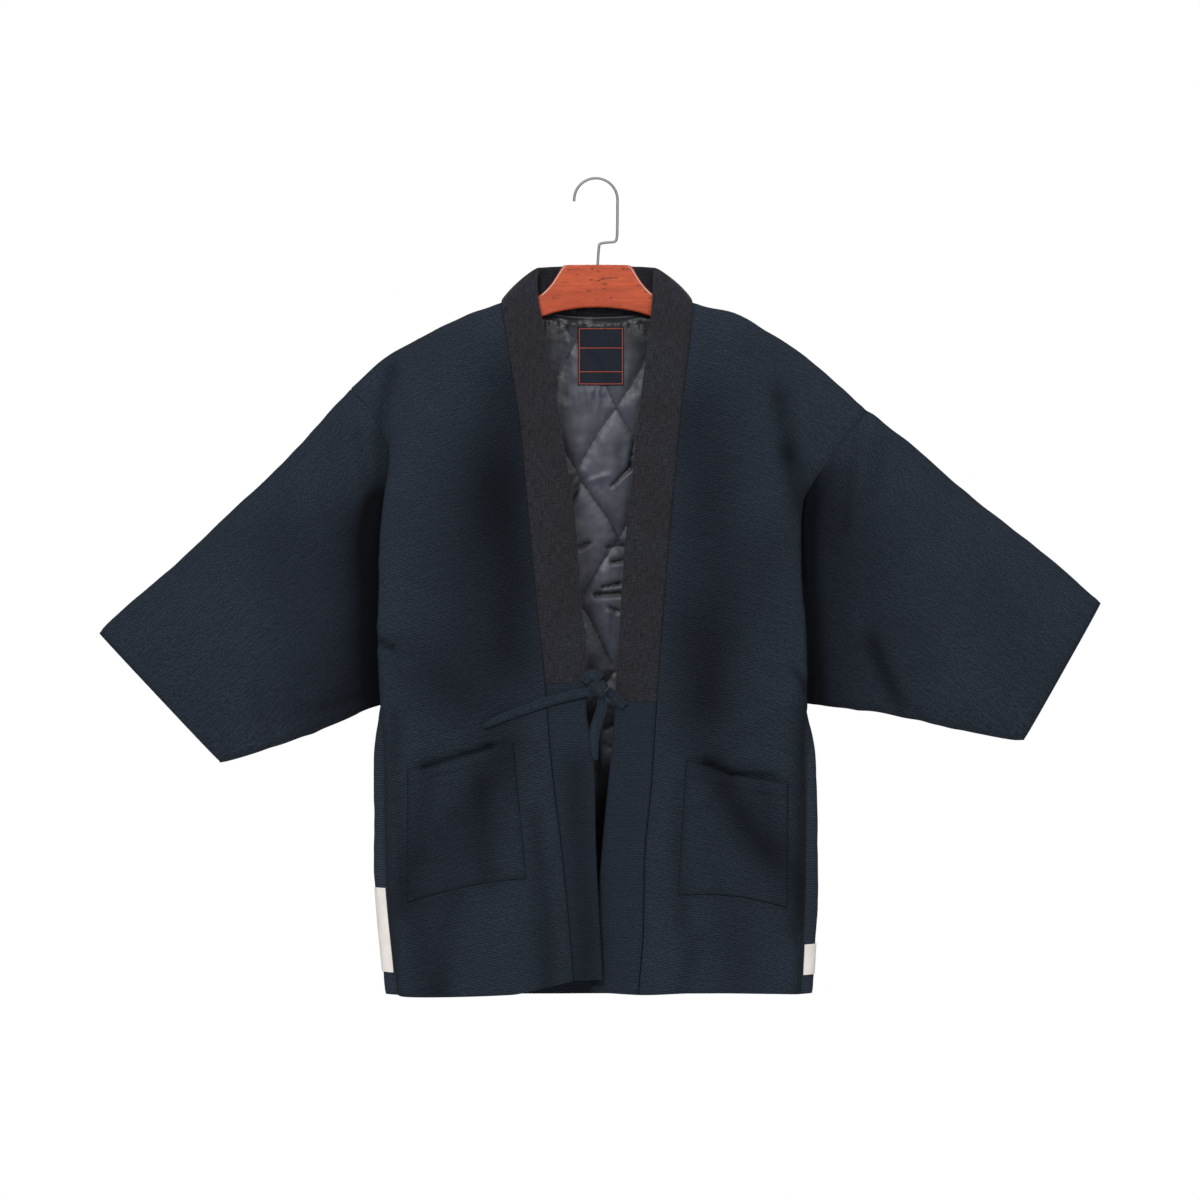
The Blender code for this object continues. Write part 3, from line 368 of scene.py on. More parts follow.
def side_point(side, v, row, front):
    """Side of a panel, from its roll (v 0) back to the armhole or gusset seam (v 1)."""
    table = SIDE[side]
    sign = SIDES[side]
    push, reach, turn = (table.at(name, row) for name in ("push", "arrive", "turn"))
    if front:
        start = front_main(side, 1.0, row)
        before = front_main(side, 0.97, row)
        end = (sign * table.at("seam", row), -table.at("fwd", row))
    else:
        start = back_main(side, "main", 1.0, row)
        before = back_main(side, "main", 0.97, row)
        end = (sign * table.at("rear_out", row), table.at("rear", row))
        span = abs(end[0] - start[..., 0])
        away = smooth(row / 0.2)
        push, reach, turn = mix(push, span, away), mix(reach, 0.6 * span, away), -8.0 * away
    leave = (start - before)[..., :2]
    leave = unit(leave) * push[..., None]
    x = hermite(start[..., 0], leave[..., 0], end[0], sign * reach, v)
    y = hermite(start[..., 1], leave[..., 1], end[1], turn, v)
    down = mix(-start[..., 2], table.at("down", row), v)
    hold = 1 - smooth(row / 0.25)
    top = TOP[side]
    drop = mix(-start[..., 2] - top.at("down", abs(start[..., 0])),
               table.at("down", row) - top.at("down", abs(end[0])), v)
    down = mix(down, top.at("down", abs(x)) + drop, hold)
    return stack(x, y, -down)


def gusset_point(side, u, row):
    """Side gusset, from the front panel's seam (u 0) to the back's (u 1)."""
    front = side_point(side, 1.0, row, True)
    rear = side_point(side, 1.0, row, False)
    point = mix(front, rear, np.asarray(u)[..., None])
    point[..., 0] += SIDES[side] * GUSSET_BULGE.at("out", row) * np.sin(math.pi * u)
    return point


def sleeve_point(side, along, place, value):
    """Sleeve from the armhole (along 0) to the cuff (1); place is front, back or under."""
    sign = SIDES[side]
    table = SIDE[side]
    start_out, start_down = float(table.at("seam", 0.0)), float(table.at("down", 0.0))
    top_out = mix(start_out, TOP[side].key[-1], along)
    top = stack(top_out, TOP[side].at("down", top_out), 0)[..., :2]
    low_out = mix(UNDER[side].key[0], UNDER[side].key[-1], along)
    low = stack(low_out, UNDER[side].at("down", low_out), 0)[..., :2]
    first_top = np.array((start_out, start_down))
    first_low = np.array((UNDER[side].key[0], ARMPIT_DOWN))
    if place == "under":
        share = np.asarray(value)[..., None]
        ends = [sleeve_point(side, along, name, np.ones_like(value)) for name in ("front", "back")]
        seam = [side_point(side, 1.0, np.ones_like(value), front) for front in (True, False)]
        bulge = gusset_point(side, value, np.ones_like(value)) - mix(*seam, share)
        point = mix(*ends, share)
        point[..., 2] -= UNDER_SAG * np.sin(math.pi * value) * smooth(along / 0.2)
        return point + bulge * (1 - along[..., None]) ** 6
    seam = side_point(side, 1.0, value, place == "front")
    share = (-seam[..., 2] - first_top[1]) / (ARMPIT_DOWN - first_top[1])
    pair = share[..., None]
    rest = stack(sign * seam[..., 0], -seam[..., 2], 0)[..., :2] - mix(first_top, first_low, pair)
    flat = mix(top, low, pair) + rest * (1 - along[..., None]) ** 3
    round_ = np.sqrt(np.maximum(1 - abs(2 * share - 1) ** 2.6, 0.0))
    depth = SLEEVE_DEPTH.at("half", along) * round_ + SLEEVE_DEPTH.at("under", along) * share ** 4
    depth = mix(abs(seam[..., 1]), depth, smooth(along / 0.3))
    folds = fold_rise(SLEEVE_FOLDS, sign * flat[..., 0], flat[..., 1]) * round_ * smooth(along / 0.06)
    depth = depth + folds * (0.5 if place == "back" else 1.0)
    return stack(sign * flat[..., 0], -depth if place == "front" else depth, -flat[..., 1])


def lengths(grid, axis):
    """Distance travelled along an axis of a grid, in metres."""
    steps = np.linalg.norm(np.diff(grid, axis=axis), axis=-1)
    return np.cumsum(np.insert(steps, 0, 0, axis=axis), axis=axis) * MM


def patches(side):
    """Fine grids of the jacket's faces with the cloth's grain on them."""
    rows = dense(UP_ROWS + LOW_ROWS, 7)[:, None]
    main = dense(MAIN, 6)[None, :]
    outer = dense(OUTER, 4)[None, 1:]
    neck = dense(NECK_X, 4)[None, :-1]
    front = np.concatenate([front_main(side, main, rows), side_point(side, outer, rows, True)], axis=1)
    back = np.concatenate([back_main(side, "neck", neck, rows), back_main(side, "main", main, rows),
                           side_point(side, outer, rows, False)], axis=1)
    low = dense([1.0] + LOW_ROWS, 7)[:, None]
    strip = dense(GUSSET, 3)
    gusset = gusset_point(side, strip[None, :], low + 0 * strip[None, :])
    along = dense(SLEEVE, 9)[:, None]
    up = dense(UP_ROWS, 7)
    ring = [("front", up), ("under", strip[1:-1]), ("back", up[::-1])]
    sleeve = np.concatenate([sleeve_point(side, along + 0 * value[None, :], place, value[None, :] + 0 * along)
                             for place, value in ring], axis=1)
    grids = {}
    for name, grid in (("front", front), ("back", back), ("gusset", gusset), ("sleeve", sleeve)):
        if name == "sleeve":
            grain = np.stack([lengths(grid, 0), lengths(grid, 1)], axis=-1)
        else:
            grain = np.stack([grid[..., 0] * MM, lengths(grid, 0)], axis=-1)
            if name == "back":
                grain[..., 1] *= -1
            if name == "gusset":
                grain = np.stack([lengths(grid, 1), lengths(grid, 0)], axis=-1)
        grids[name] = (grid, grain)
    return grids


class Cloth:
    """Welded faces of one or more grids; pieces share their seams' points."""

    def __init__(self):
        self.points, self.faces, self.grain, self.parts = [], {}, {}, []

    def add(self, piece, grid, grain, flip):
        self.parts.append((piece, grid, grain, flip))

    def weld(self):
        flat = np.concatenate([grid.reshape(-1, 3) for _, grid, _, _ in self.parts])
        keys = np.round(flat * 40 + 0.137).astype(np.int64)
        _, first, inverse = np.unique(keys, axis=0, return_index=True, return_inverse=True)
        inverse = inverse.reshape(-1)
        self.points = flat[first]
        start = 0
        normals = np.zeros_like(self.points)
        for piece, grid, grain, flip in self.parts:
            rows, columns = grid.shape[:2]
            index = inverse[start:start + rows * columns].reshape(rows, columns)
            start += rows * columns
            quad = corners(index).reshape(-1, 4)
            uv = corners(grain).reshape(-1, 4, 2)
            if flip:
                quad, uv = quad[:, ::-1], uv[:, ::-1]
            self.faces.setdefault(piece, []).append(quad)
            self.grain.setdefault(piece, []).append(uv)
            at = self.points[quad]
            face = np.cross(at[:, 2] - at[:, 0], at[:, 3] - at[:, 1])
            face /= np.maximum(np.linalg.norm(face, axis=1, keepdims=True), 1e-9)
            for k in range(4):
                np.add.at(normals, quad[:, k], face)
        self.normals = normals / np.maximum(np.linalg.norm(normals, axis=1, keepdims=True), 1e-9)

    def piece(self, name):
        """Points, normals, faces and grain of one piece by itself."""
        faces = np.concatenate(self.faces[name])
        used, inverse = np.unique(faces, return_inverse=True)
        return self.points[used], self.normals[used], inverse.reshape(faces.shape), np.concatenate(self.grain[name])


def corners(grid):
    """The four corners of each cell of a grid."""
    return np.stack([grid[:-1, :-1], grid[:-1, 1:], grid[1:, 1:], grid[1:, :-1]], axis=2)


def rim_of(faces):
    """Directed edges that belong to one face only."""
    edges = np.concatenate([np.stack([faces[:, k], faces[:, (k + 1) % 4]], axis=1) for k in range(4)])
    ordered = np.sort(edges, axis=1)
    _, index, counts = np.unique(ordered, axis=0, return_index=True, return_counts=True)
    return edges[index[counts == 1]]


def closed(faces, size):
    """Faces of a wall: a sheet, its copy size points further on, and the strip round their rims."""
    rim = rim_of(faces)
    strip = np.stack([rim[:, 1], rim[:, 0], rim[:, 0] + size, rim[:, 1] + size], axis=1)
    return np.concatenate([faces, faces[:, ::-1] + size, strip])


def point_tree(points):
    tree = kdtree.KDTree(len(points))
    for i, point in enumerate(points):
        tree.insert(point, i)
    tree.balance()
    return tree


def border_distance(points, rim):
    """Distance of every point to the piece's border."""
    tree = point_tree((points[rim[:, 0]] + points[rim[:, 1]]) / 2)
    return np.array([tree.find(point)[2] for point in points])


def soft_noise(points, size, seed):
    """Smooth random heights, the same at each run."""
    shift = Vector((seed * 7.3, seed * 3.1, seed * 1.7))
    return np.array([noise.noise(Vector(point) / size + shift) for point in points])


def mesh_object(name, points, faces, look, grain=None, painted_shade=None):
    """Mesh in metres from points in millimetres; the last argument is the share of painted shade at each point."""
    mesh = bpy.data.meshes.new(name)
    mesh.from_pydata((points * MM).tolist(), [], [list(face) for face in faces])
    if grain is not None:
        layer = mesh.uv_layers.new(name="grain")
        layer.data.foreach_set("uv", grain.reshape(-1).astype(np.float32))
    # the share of painted shade goes onto the mesh as a point attribute
    if painted_shade is not None:
        mesh.attributes.new("painted_shade", "FLOAT", "POINT").data.foreach_set("value", painted_shade.astype(np.float32))
    mesh.materials.append(look)
    mesh.shade_smooth()
    mesh.set_sharp_from_angle(angle=math.radians(RIM_ANGLE))
    mesh.validate()
    mesh.update()
    obj = add_object(name, mesh)
    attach(obj, "root")
    return obj


def shell(name, points, normals, faces, grain, near, far, look, painted_shade):
    """Closed wall between the depths near and far below a sheet; each may be one size or one a point."""
    walls = [points - normals * np.reshape(depth, (-1, 1)) for depth in (near, far)]
    size = len(points)
    uv_at = np.zeros((size, 2))
    uv_at[faces.reshape(-1)] = grain.reshape(-1, 2)
    all_faces = closed(faces, size)
    all_uv = np.concatenate([grain, grain[:, ::-1], uv_at[all_faces[2 * len(faces):] % size]])
    # the share of painted shade is the same on both sheets
    return mesh_object(name, np.concatenate(walls), all_faces, look, all_uv, np.tile(painted_shade, 2))


class Look:
    """A node material, built link by link."""

    def __init__(self, name, roughness, specular=0.3, metallic=0.0):
        self.material = bpy.data.materials.new(name)
        self.material.use_nodes = True
        self.tree = self.material.node_tree
        self.shader = self.tree.nodes["Principled BSDF"]
        self.set_shader(Roughness=roughness, Specular_IOR_Level=specular, Metallic=metallic)

    def fill(self, node, **values):
        """Set sockets by name, with _ for a space."""
        for name, value in values.items():
            node.inputs[name.replace("_", " ")].default_value = value
        return node

    def set_shader(self, **values):
        self.fill(self.shader, **values)

    def node(self, kind, **settings):
        made = self.tree.nodes.new("ShaderNode" + kind)
        for name, value in settings.items():
            setattr(made, name, value)
        return made

    def link(self, source, target):
        self.tree.links.new(source, target)

    def scaled(self, source, scale):
        mapping = self.fill(self.node("Mapping"), Scale=scale)
        self.link(source, mapping.inputs["Vector"])
        return mapping.outputs["Vector"]

    def grain(self, *scale):
        """Cloth coordinates in metres, scaled."""
        return self.scaled(self.node("UVMap", uv_map="grain").outputs["UV"], (*scale, 1.0))

    def place(self, *scale):
        """Object coordinates in metres, scaled."""
        return self.scaled(self.node("TexCoord").outputs["Object"], scale)

    # share of painted shade on the mesh's points, by which the cloth colours are darkened
    def painted_shade(self):
        return self.node("Attribute", attribute_name="painted_shade").outputs["Fac"]

    def texture(self, made, vector, **values):
        self.link(vector, self.fill(made, **values).inputs["Vector"])
        return made.outputs["Fac"]

    def noise(self, vector, detail=3.0, rough=0.5, distort=0.0):
        return self.texture(self.node("TexNoise"), vector, Scale=1.0, Detail=detail, Roughness=rough,
                            Distortion=distort)

    def wave(self, vector, direction, scale, distort, detail=2.0, detail_scale=1.0):
        made = self.node("TexWave", wave_type="BANDS", bands_direction=direction, wave_profile="SIN")
        return self.texture(made, vector, Scale=scale, Distortion=distort, Detail=detail, Detail_Scale=detail_scale)

    def weave(self, warp, weft, wander, detail_scale=1.0):
        """Two sets of threads that cross."""
        plain = self.grain(1.0, 1.0)
        return self.times(self.wave(plain, "X", warp, wander, 2.0, detail_scale),
                          self.wave(plain, "Y", weft, wander, 2.0, detail_scale))

    def math(self, operation, a, b):
        made = self.node("Math", operation=operation)
        for socket, value in zip(made.inputs, (a, b)):
            if isinstance(value, (int, float)):
                socket.default_value = value
            else:
                self.link(value, socket)
        return made.outputs[0]

    def times(self, a, b):
        return self.math("MULTIPLY", a, b)

    def span(self, value, low=0.3, high=0.7, new_low=0.0, new_high=1.0):
        made = self.fill(self.node("MapRange", interpolation_type="SMOOTHSTEP"), From_Min=low, From_Max=high,
                         To_Min=new_low, To_Max=new_high)
        self.link(value, made.inputs["Value"])
        return made.outputs["Result"]

    def blend(self, share, a, b):
        made = self.node("Mix", data_type="RGBA")
        sockets = [s for s in made.inputs if s.type == "RGBA"]
        self.link(share, made.inputs["Factor"])
        for socket, value in zip(sockets, (a, b)):
            if isinstance(value, tuple):
                socket.default_value = (*value, 1.0)
            else:
                self.link(value, socket)
        return [s for s in made.outputs if s.type == "RGBA"][0]

    def bump(self, height, distance, strength=1.0, after=None):
        made = self.fill(self.node("Bump"), Distance=distance, Strength=strength)
        self.link(height, made.inputs["Height"])
        if after is not None:
            self.link(after, made.inputs["Normal"])
        return made.outputs["Normal"]

    def finish(self, color, normal=None, roughness=None):
        self.link(color, self.shader.inputs["Base Color"])
        if normal is not None:
            self.link(normal, self.shader.inputs["Normal"])
        if roughness is not None:
            self.link(roughness, self.shader.inputs["Roughness"])
        return self.material


def navy_cloth(name, rib_depth, weave_depth, tint=1.0, ribbing=1.0, weaving=0.35):
    """Crinkled cotton: broken wavy ribs along the weft over a fine plain weave, with painted shade in the rib valleys
    and where the mesh holds painted shade.
    """
    look = Look(name, 0.95, 0.04)
    look.set_shader(Sheen_Weight=0.015, Sheen_Roughness=0.5)
    ribs = look.wave(look.grain(1.1, 1.0), "Y", 108.0, 5.5, 3.0, 2.6)
    broken = look.noise(look.grain(300.0, 560.0), 3.0, 0.6)
    crinkle = look.times(look.math("ADD", look.times(ribs, ribbing), look.times(broken, 1.5)), 0.4)
    weave = look.weave(137.0, 150.0, 1.2, 3.0)
    patchy = look.noise(look.place(9.0, 9.0, 9.0), 6.0, 0.62)
    lint = look.span(look.noise(look.place(520.0, 520.0, 520.0), 2.0, 0.5), 0.745, 0.8)
    valley, ridge = (0.0122, 0.0166, 0.0235), (0.0295, 0.0383, 0.0535)

    def tone(color, share):
        return tuple(tint * share * c for c in color)
    # the rib valleys are painted darker than the ridges: painted shade in the crinkle
    ribbed = look.blend(look.span(crinkle, 0.24, 0.76), tone(valley, 1.0), tone(ridge, 1.0))
    woven = look.blend(look.times(weave, weaving), ribbed, tone(ridge, 0.3))
    worn = look.blend(look.span(patchy, 0.3, 0.7, 0.0, 0.3), woven, tone(ridge, 0.4))
    # painted shade: darker where the mesh's share of painted shade is high
    dim = look.blend(look.times(look.painted_shade(), 0.95), worn, tone(ridge, 0.07))
    color = look.blend(look.times(lint, 0.3), dim, (0.1, 0.11, 0.13))
    normal = look.bump(crinkle, rib_depth * MM)
    normal = look.bump(weave, weave_depth * MM, 0.8, normal)
    return look.finish(color, normal)


def slub_cloth():
    """Black plain weave with thick and thin yarns along the collar."""
    look = Look("black_slub_cloth", 0.95, 0.05)
    look.set_shader(Sheen_Weight=0.08, Sheen_Roughness=0.5)
    along = look.noise(look.grain(1000.0, 80.0), 3.0, 0.6)
    across = look.noise(look.grain(100.0, 800.0), 3.0, 0.6)
    slubs = look.math("ADD", look.times(along, 0.6), look.times(across, 0.45))
    grit = look.noise(look.grain(820.0, 640.0), 2.0, 0.6)
    speck = look.span(look.noise(look.grain(430.0, 330.0), 3.0, 0.65), 0.62, 0.74)
    patchy = look.noise(look.place(18.0, 18.0, 18.0), 4.0, 0.55)
    threads = look.math("ADD", look.times(slubs, 0.7), look.times(grit, 0.38))
    base = look.blend(look.span(threads, 0.4, 0.7), (0.0045, 0.0048, 0.0068), (0.0315, 0.0325, 0.041))
    shade = look.blend(look.span(patchy, 0.35, 0.7, 0.0, 0.4), base, (0.0155, 0.0135, 0.0155))
    # painted shade: darker where the mesh's share of painted shade is high
    dim = look.blend(look.times(look.painted_shade(), 0.85), shade, (0.0025, 0.0025, 0.003))
    color = look.blend(look.times(speck, 0.45), dim, (0.07, 0.07, 0.078))
    normal = look.bump(threads, 0.8 * MM)
    return look.finish(color, normal)


def satin_cloth():
    """Smooth lining with a soft shine and fine pull lines, darkened by painted shade in its stitch lines, creases and
    shaded places.
    """
    look = Look("charcoal_satin", 0.46, 0.4)
    look.set_shader(Anisotropic=0.4)
    fine = look.noise(look.grain(1500.0, 240.0), 2.0, 0.5)
    soft = look.noise(look.grain(60.0, 34.0), 4.0, 0.55, 0.6)
    plain = look.blend(look.span(soft), (0.057, 0.062, 0.083), (0.079, 0.085, 0.113))
    # painted shade: darker where the mesh's share of painted shade is high
    color = look.blend(look.times(look.painted_shade(), 0.94), plain, (0.003, 0.0035, 0.005))
    normal = look.bump(soft, 0.8 * MM, 0.5)
    normal = look.bump(fine, 0.06 * MM, 0.5, normal)
    return look.finish(color, normal, look.span(fine, 0.2, 0.8, 0.4, 0.52))


def cream_cloth():
    """Pale woven tape."""
    look = Look("cream_tape", 0.8, 0.2)
    weave = look.weave(160.0, 160.0, 1.0)
    soft = look.noise(look.grain(70.0, 40.0), 3.0, 0.5)
    color = look.blend(look.span(soft), (0.9, 0.85, 0.79), (0.97, 0.93, 0.88))
    return look.finish(color, look.bump(weave, 0.2 * MM, 0.8))


def label_cloth(name, color):
    """Tight satin weave of a woven label."""
    look = Look(name, 0.7, 0.15)
    weave = look.weave(300.0, 240.0, 0.5)
    soft = look.noise(look.grain(300.0, 300.0), 2.0, 0.5)
    shade = look.blend(look.span(soft), tuple(0.8 * c for c in color), color)
    return look.finish(shade, look.bump(weave, 0.1 * MM, 0.7))


def wood_look():
    """Varnished reddish wood with short dark dashes of grain along the hanger."""
    look = Look("red_brown_wood", 0.42, 0.22)
    look.set_shader(Coat_Weight=0.06, Coat_Roughness=0.15)
    fine = look.noise(look.place(60.0, 300.0, 900.0), 4.0, 0.6, 0.2)
    wide = look.noise(look.place(5.0, 30.0, 34.0), 4.0, 0.5, 0.5)
    dashes = look.span(look.noise(look.place(110.0, 300.0, 1100.0), 2.0, 0.5), 0.6, 0.7)
    belt = look.span(look.noise(look.place(12.0, 30.0, 70.0), 2.0, 0.5), 0.45, 0.62)
    base = look.blend(look.span(wide), (0.33, 0.044, 0.015), (0.49, 0.083, 0.026))
    grain = look.blend(look.span(fine, 0.35, 0.7, 0.4, 0.0), base, (0.24, 0.034, 0.012))
    color = look.blend(look.times(look.times(dashes, belt), 0.75), grain, (0.07, 0.012, 0.006))
    return look.finish(color, look.bump(fine, 0.05 * MM, 0.6), look.span(fine, 0.3, 0.7, 0.36, 0.46))


def plain_look(name, color, roughness, metallic=0.0, specular=0.4):
    """One colour, a little uneven in tone, gloss and height."""
    look = Look(name, roughness, specular, metallic)
    soft = look.noise(look.place(260.0, 260.0, 900.0), 3.0, 0.5)
    shade = look.blend(look.span(soft), tuple(0.88 * c for c in color), color)
    return look.finish(shade, look.bump(soft, 0.02 * MM, 0.4), look.span(soft, 0.3, 0.7, roughness, roughness * 1.3))


# The tint scales each copy's colour: the side gussets and the tie get lighter copies as painted light, the pockets a
# darker copy as painted shade
NAVY = navy_cloth("navy_crinkle_cloth", 0.8, 0.15)
NAVY_POCKET_SHADED = navy_cloth("navy_pocket_shaded_cloth", 0.8, 0.15, 0.92)
NAVY_SIDE_LIT = navy_cloth("navy_side_lit_cloth", 0.8, 0.15, 1.4)
NAVY_BAND = navy_cloth("navy_band_cloth", 0.4, 0.3, 1.04, 0.6, 0.6)
NAVY_TIE_LIT = navy_cloth("navy_tie_lit_cloth", 0.4, 0.3, 1.1, 0.5, 0.5)
BLACK = slub_cloth()
SATIN = satin_cloth()
CREAM = cream_cloth()
LABEL = label_cloth("navy_label_weave", (0.009, 0.0125, 0.021))
BORDER = label_cloth("label_border_thread", (0.42, 0.075, 0.03))
WOOD_LOOK = wood_look()
TRIM = plain_look("pale_trim", (0.5, 0.46, 0.43), 0.4)
STEEL = plain_look("polished_steel", (0.3, 0.29, 0.28), 0.5, 1.0)

# The jacket's panels, sleeves and gussets
fabric = Cloth()
for side in SIDES:
    for name, (grid, grain) in patches(side).items():
        piece = ("body_" if name in ("front", "back") else name + "_") + side
        fabric.add(piece, grid, grain, (side == "left") == (name in ("front", "gusset")))
fabric.weld()


def surface_relief(name, points, normals, distance):
    """Small creases and padding of one piece, in millimetres outwards."""
    x, down = points[:, 0], -points[:, 2]
    inside = smooth(distance / 14)
    if name.startswith("body"):
        facing = smooth((-normals[:, 1] + 0.15) / 0.5)
        rise = fold_rise(FRONT_CREASES, x, down) * facing
        rise = rise + fold_rise(BACK_CREASES, x, down) * smooth((normals[:, 1] - 0.1) / 0.5)
    elif name.startswith("sleeve"):
        rise = fold_rise(SLEEVE_CREASES, x, down) * np.where(normals[:, 1] < 0, 1.0, 0.7)
    else:
        rise = 0.0
    seed = len(name) + ord(name[0]) % 7
    uneven = 1.5 * soft_noise(points, 74.0, seed) + 0.7 * soft_noise(points * (1, 1, 1.7), 30.0, seed + 3)
    return rise * inside + uneven * inside


def strokes(shades, points):
    """Sum of shade strokes at some points, a little wavy and uneven."""
    x, down = points[..., 0], -points[..., 2]
    flat = points.reshape(-1, 3)
    drift, mottle = (soft_noise(flat, size, seed).reshape(x.shape) for size, seed in ((120.0, 11), (95.0, 13)))
    return fold_rise(shades, x + STROKE_DRIFT * drift, down) * (1 + STROKE_MOTTLE * mottle)


def shaded(points):
    """Share of shade on the fronts, from 0 to 1."""
    x, down = points[..., 0], -points[..., 2]
    dips = smooth(-(fold_rise(FRONT_FOLDS, x, down) + 1.5 * fold_rise(FRONT_CREASES, x, down)) / 12)
    return np.clip(0.3 * dips + strokes(FRONT_SHADES, points), 0, 1)


def painted_shade_at(name, points, normals, distance):
    """Painted shade at each point, from 0 to 1: darker near the piece's seams, in the fronts' dips and shade strokes,
    and in the sleeves' creases and shade strokes.
    """
    x, down = points[:, 0], -points[:, 2]
    seam = 0.35 * bell(distance, 2.5)
    if name.startswith("body"):
        return np.maximum(seam, shaded(points) * smooth(-normals[:, 1] / 0.3))
    if name.startswith("sleeve"):
        folds = 0.2 * smooth(-fold_rise(SLEEVE_CREASES, x, down) / 3)
        shade = np.clip(folds + strokes(SLEEVE_SHADES, points), 0, 1)
        return np.maximum(seam, shade * np.where(points[:, 1] < 0, 1.0, 0.8))
    return seam


outer_tree = {}
cloth_pieces = {}
for side in SIDES:
    for name in ("body_", "sleeve_", "gusset_"):
        name += side
        points, normals, faces, grain = fabric.piece(name)
        distance = border_distance(points, rim_of(faces))
        rise = surface_relief(name, points, normals, distance)
        # the right front rolls over the sleeve here, so this seam stays smooth and gets less painted seam shade
        blind = smooth((-points[:, 0] - 225) / 20) * smooth((460 + points[:, 2]) / 40) * (side == "right")
        edge = SEAM_PINCH * bell(distance, 4.0) * (1 - 0.92 * blind)
        near = edge - rise + 0.05
        far = WALL - 0.35 * edge
        raised = points - normals * near[:, None]
        outer_tree[name] = BVHTree.FromPolygons(raised.tolist(), faces.tolist())
        # the gussets take the lighter copy of the cloth, painted light for their sideways faces
        obj = shell(name + "_cloth", points, normals, faces, grain, near, far,
                    NAVY_SIDE_LIT if name.startswith("gusset") else NAVY,
                    painted_shade_at(name, points, normals, distance + 6 * blind))
        cloth_pieces[name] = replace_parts(obj, name)

# Quilted lining of the back, seen through the neck and the front opening
LINING_CREASES = rows_of("""
    -34 170 -26 225 5 1.4 | -42 180 -38 250 5 -1.2 | 38 168 42 240 5 -1.2 | -6 246 4 300 5 1.2 | 8 240 2 288 4 -1.2 |
    -14 250 -20 296 4 -1 | 44 300 38 332 2.6 -3.4 | 38 332 18 352 2.2 -2.6 | 10 342 -16 350 4 1.6 |
    -20 350 -34 372 5 -3 | 30 422 14 424 2.6 -3.4 | 30 440 18 441 2.4 -3 | 27 466 8 470 2.6 -3.4 |
    26 478 0 479 3.2 -3.8 | 24 498 16 494 2.4 -3 | -12 420 -20 424 3 -2.6 | 14 500 10 530 5 1.4 |
    12 610 26 612 2.6 -2.6 | 10 632 22 630 2.6 -2.6 | 10 652 20 656 2.6 -2.2 | -4 360 16 380 8 1 | 4 440 14 470 6 1
""")

QUILT_LINE = 78.7        # between parallel stitch lines
QUILT_SOFT = 6.5         # how soon the wadding rises beside a line
STITCH_WIDE = 1.7
GATHER_TOP, GATHER_LABEL, GATHER_STEP = 164.0, 248.0, 6.6


def quilt(x, down):
    """Height of the quilted diamonds and the distance to their nearest stitch line."""
    wander = 2.6 * np.sin(down / 23.0 + 0.8) + 1.8 * np.sin(x / 15.0 + down / 41.0)
    a = (x + wander - QUILT_AT[0]) / QUILT_WIDE
    b = (down - QUILT_AT[1]) / QUILT_TALL
    one, other = abs(np.sin(math.pi * (a + b))), abs(np.sin(math.pi * (a - b)))
    away = QUILT_LINE / math.pi * np.arcsin(np.minimum(one, other))
    along = 0.85 * down + np.where(one < other, -0.5, 0.5) * x
    pull = 0.3 * np.sin(along * math.tau / 9.0 + 2.5 * np.sin(along / 17.0)) * np.exp(-away / 5.0)
    return QUILT_RISE * (1 - np.exp(-away / QUILT_SOFT)) + pull * (1 - np.exp(-away / 1.5)), away


lining_cloth = Cloth()
lining_rows = np.concatenate([dense(UP_ROWS, 18), dense([1.0] + LOW_ROWS, 9)[1:]])
lining_rows = lining_rows[(lining_rows > 0.02) & (lining_rows < LINING_END)]
for side in SIDES:
    rows = lining_rows[:, None]
    middle = back_main(side, "neck", dense(NECK_X[:-1], 10)[None, :], rows)
    rows = lining_rows[lining_rows >= 0.24][:, None]
    beside = np.concatenate([back_main(side, "neck", dense(NECK_X[-2:], 3)[None, :-1], rows),
                             back_main(side, "main", dense(MAIN, 3)[None, :], rows)], axis=1)
    for grid in (middle, beside):
        grain = np.stack([grid[..., 0] * MM, -grid[..., 2] * MM], axis=-1)
        lining_cloth.add("lining", grid, grain, side == "right")
lining_cloth.weld()
points, normals, faces, grain = lining_cloth.piece("lining")
distance = border_distance(points, rim_of(faces))
x, down = points[:, 0], -points[:, 2]
gathered = 0.8 * bell(down - GATHER_TOP, 13) + 0.9 * bell(down - GATHER_LABEL, 12) * bell(x, 32)
gather = 1.1 * np.sin(x * math.tau / GATHER_STEP + 1.2 * np.sin(down / 15.0 + x / 14)) * gathered
height, stitch_away = quilt(x, down)
folds = fold_rise(LINING_CREASES, x, down)
puff = height + folds + gather
puff = puff + 0.9 * soft_noise(points, 22.0, 5) + 0.25 * soft_noise(points * (1.6, 1, 1), 8.0, 6)
puff = np.maximum(puff * smooth(distance / 10), 0.0)
lining_near = WALL + 0.5
lining_far = lining_near + mix(0.4, LINING, smooth(distance / 5)) + puff
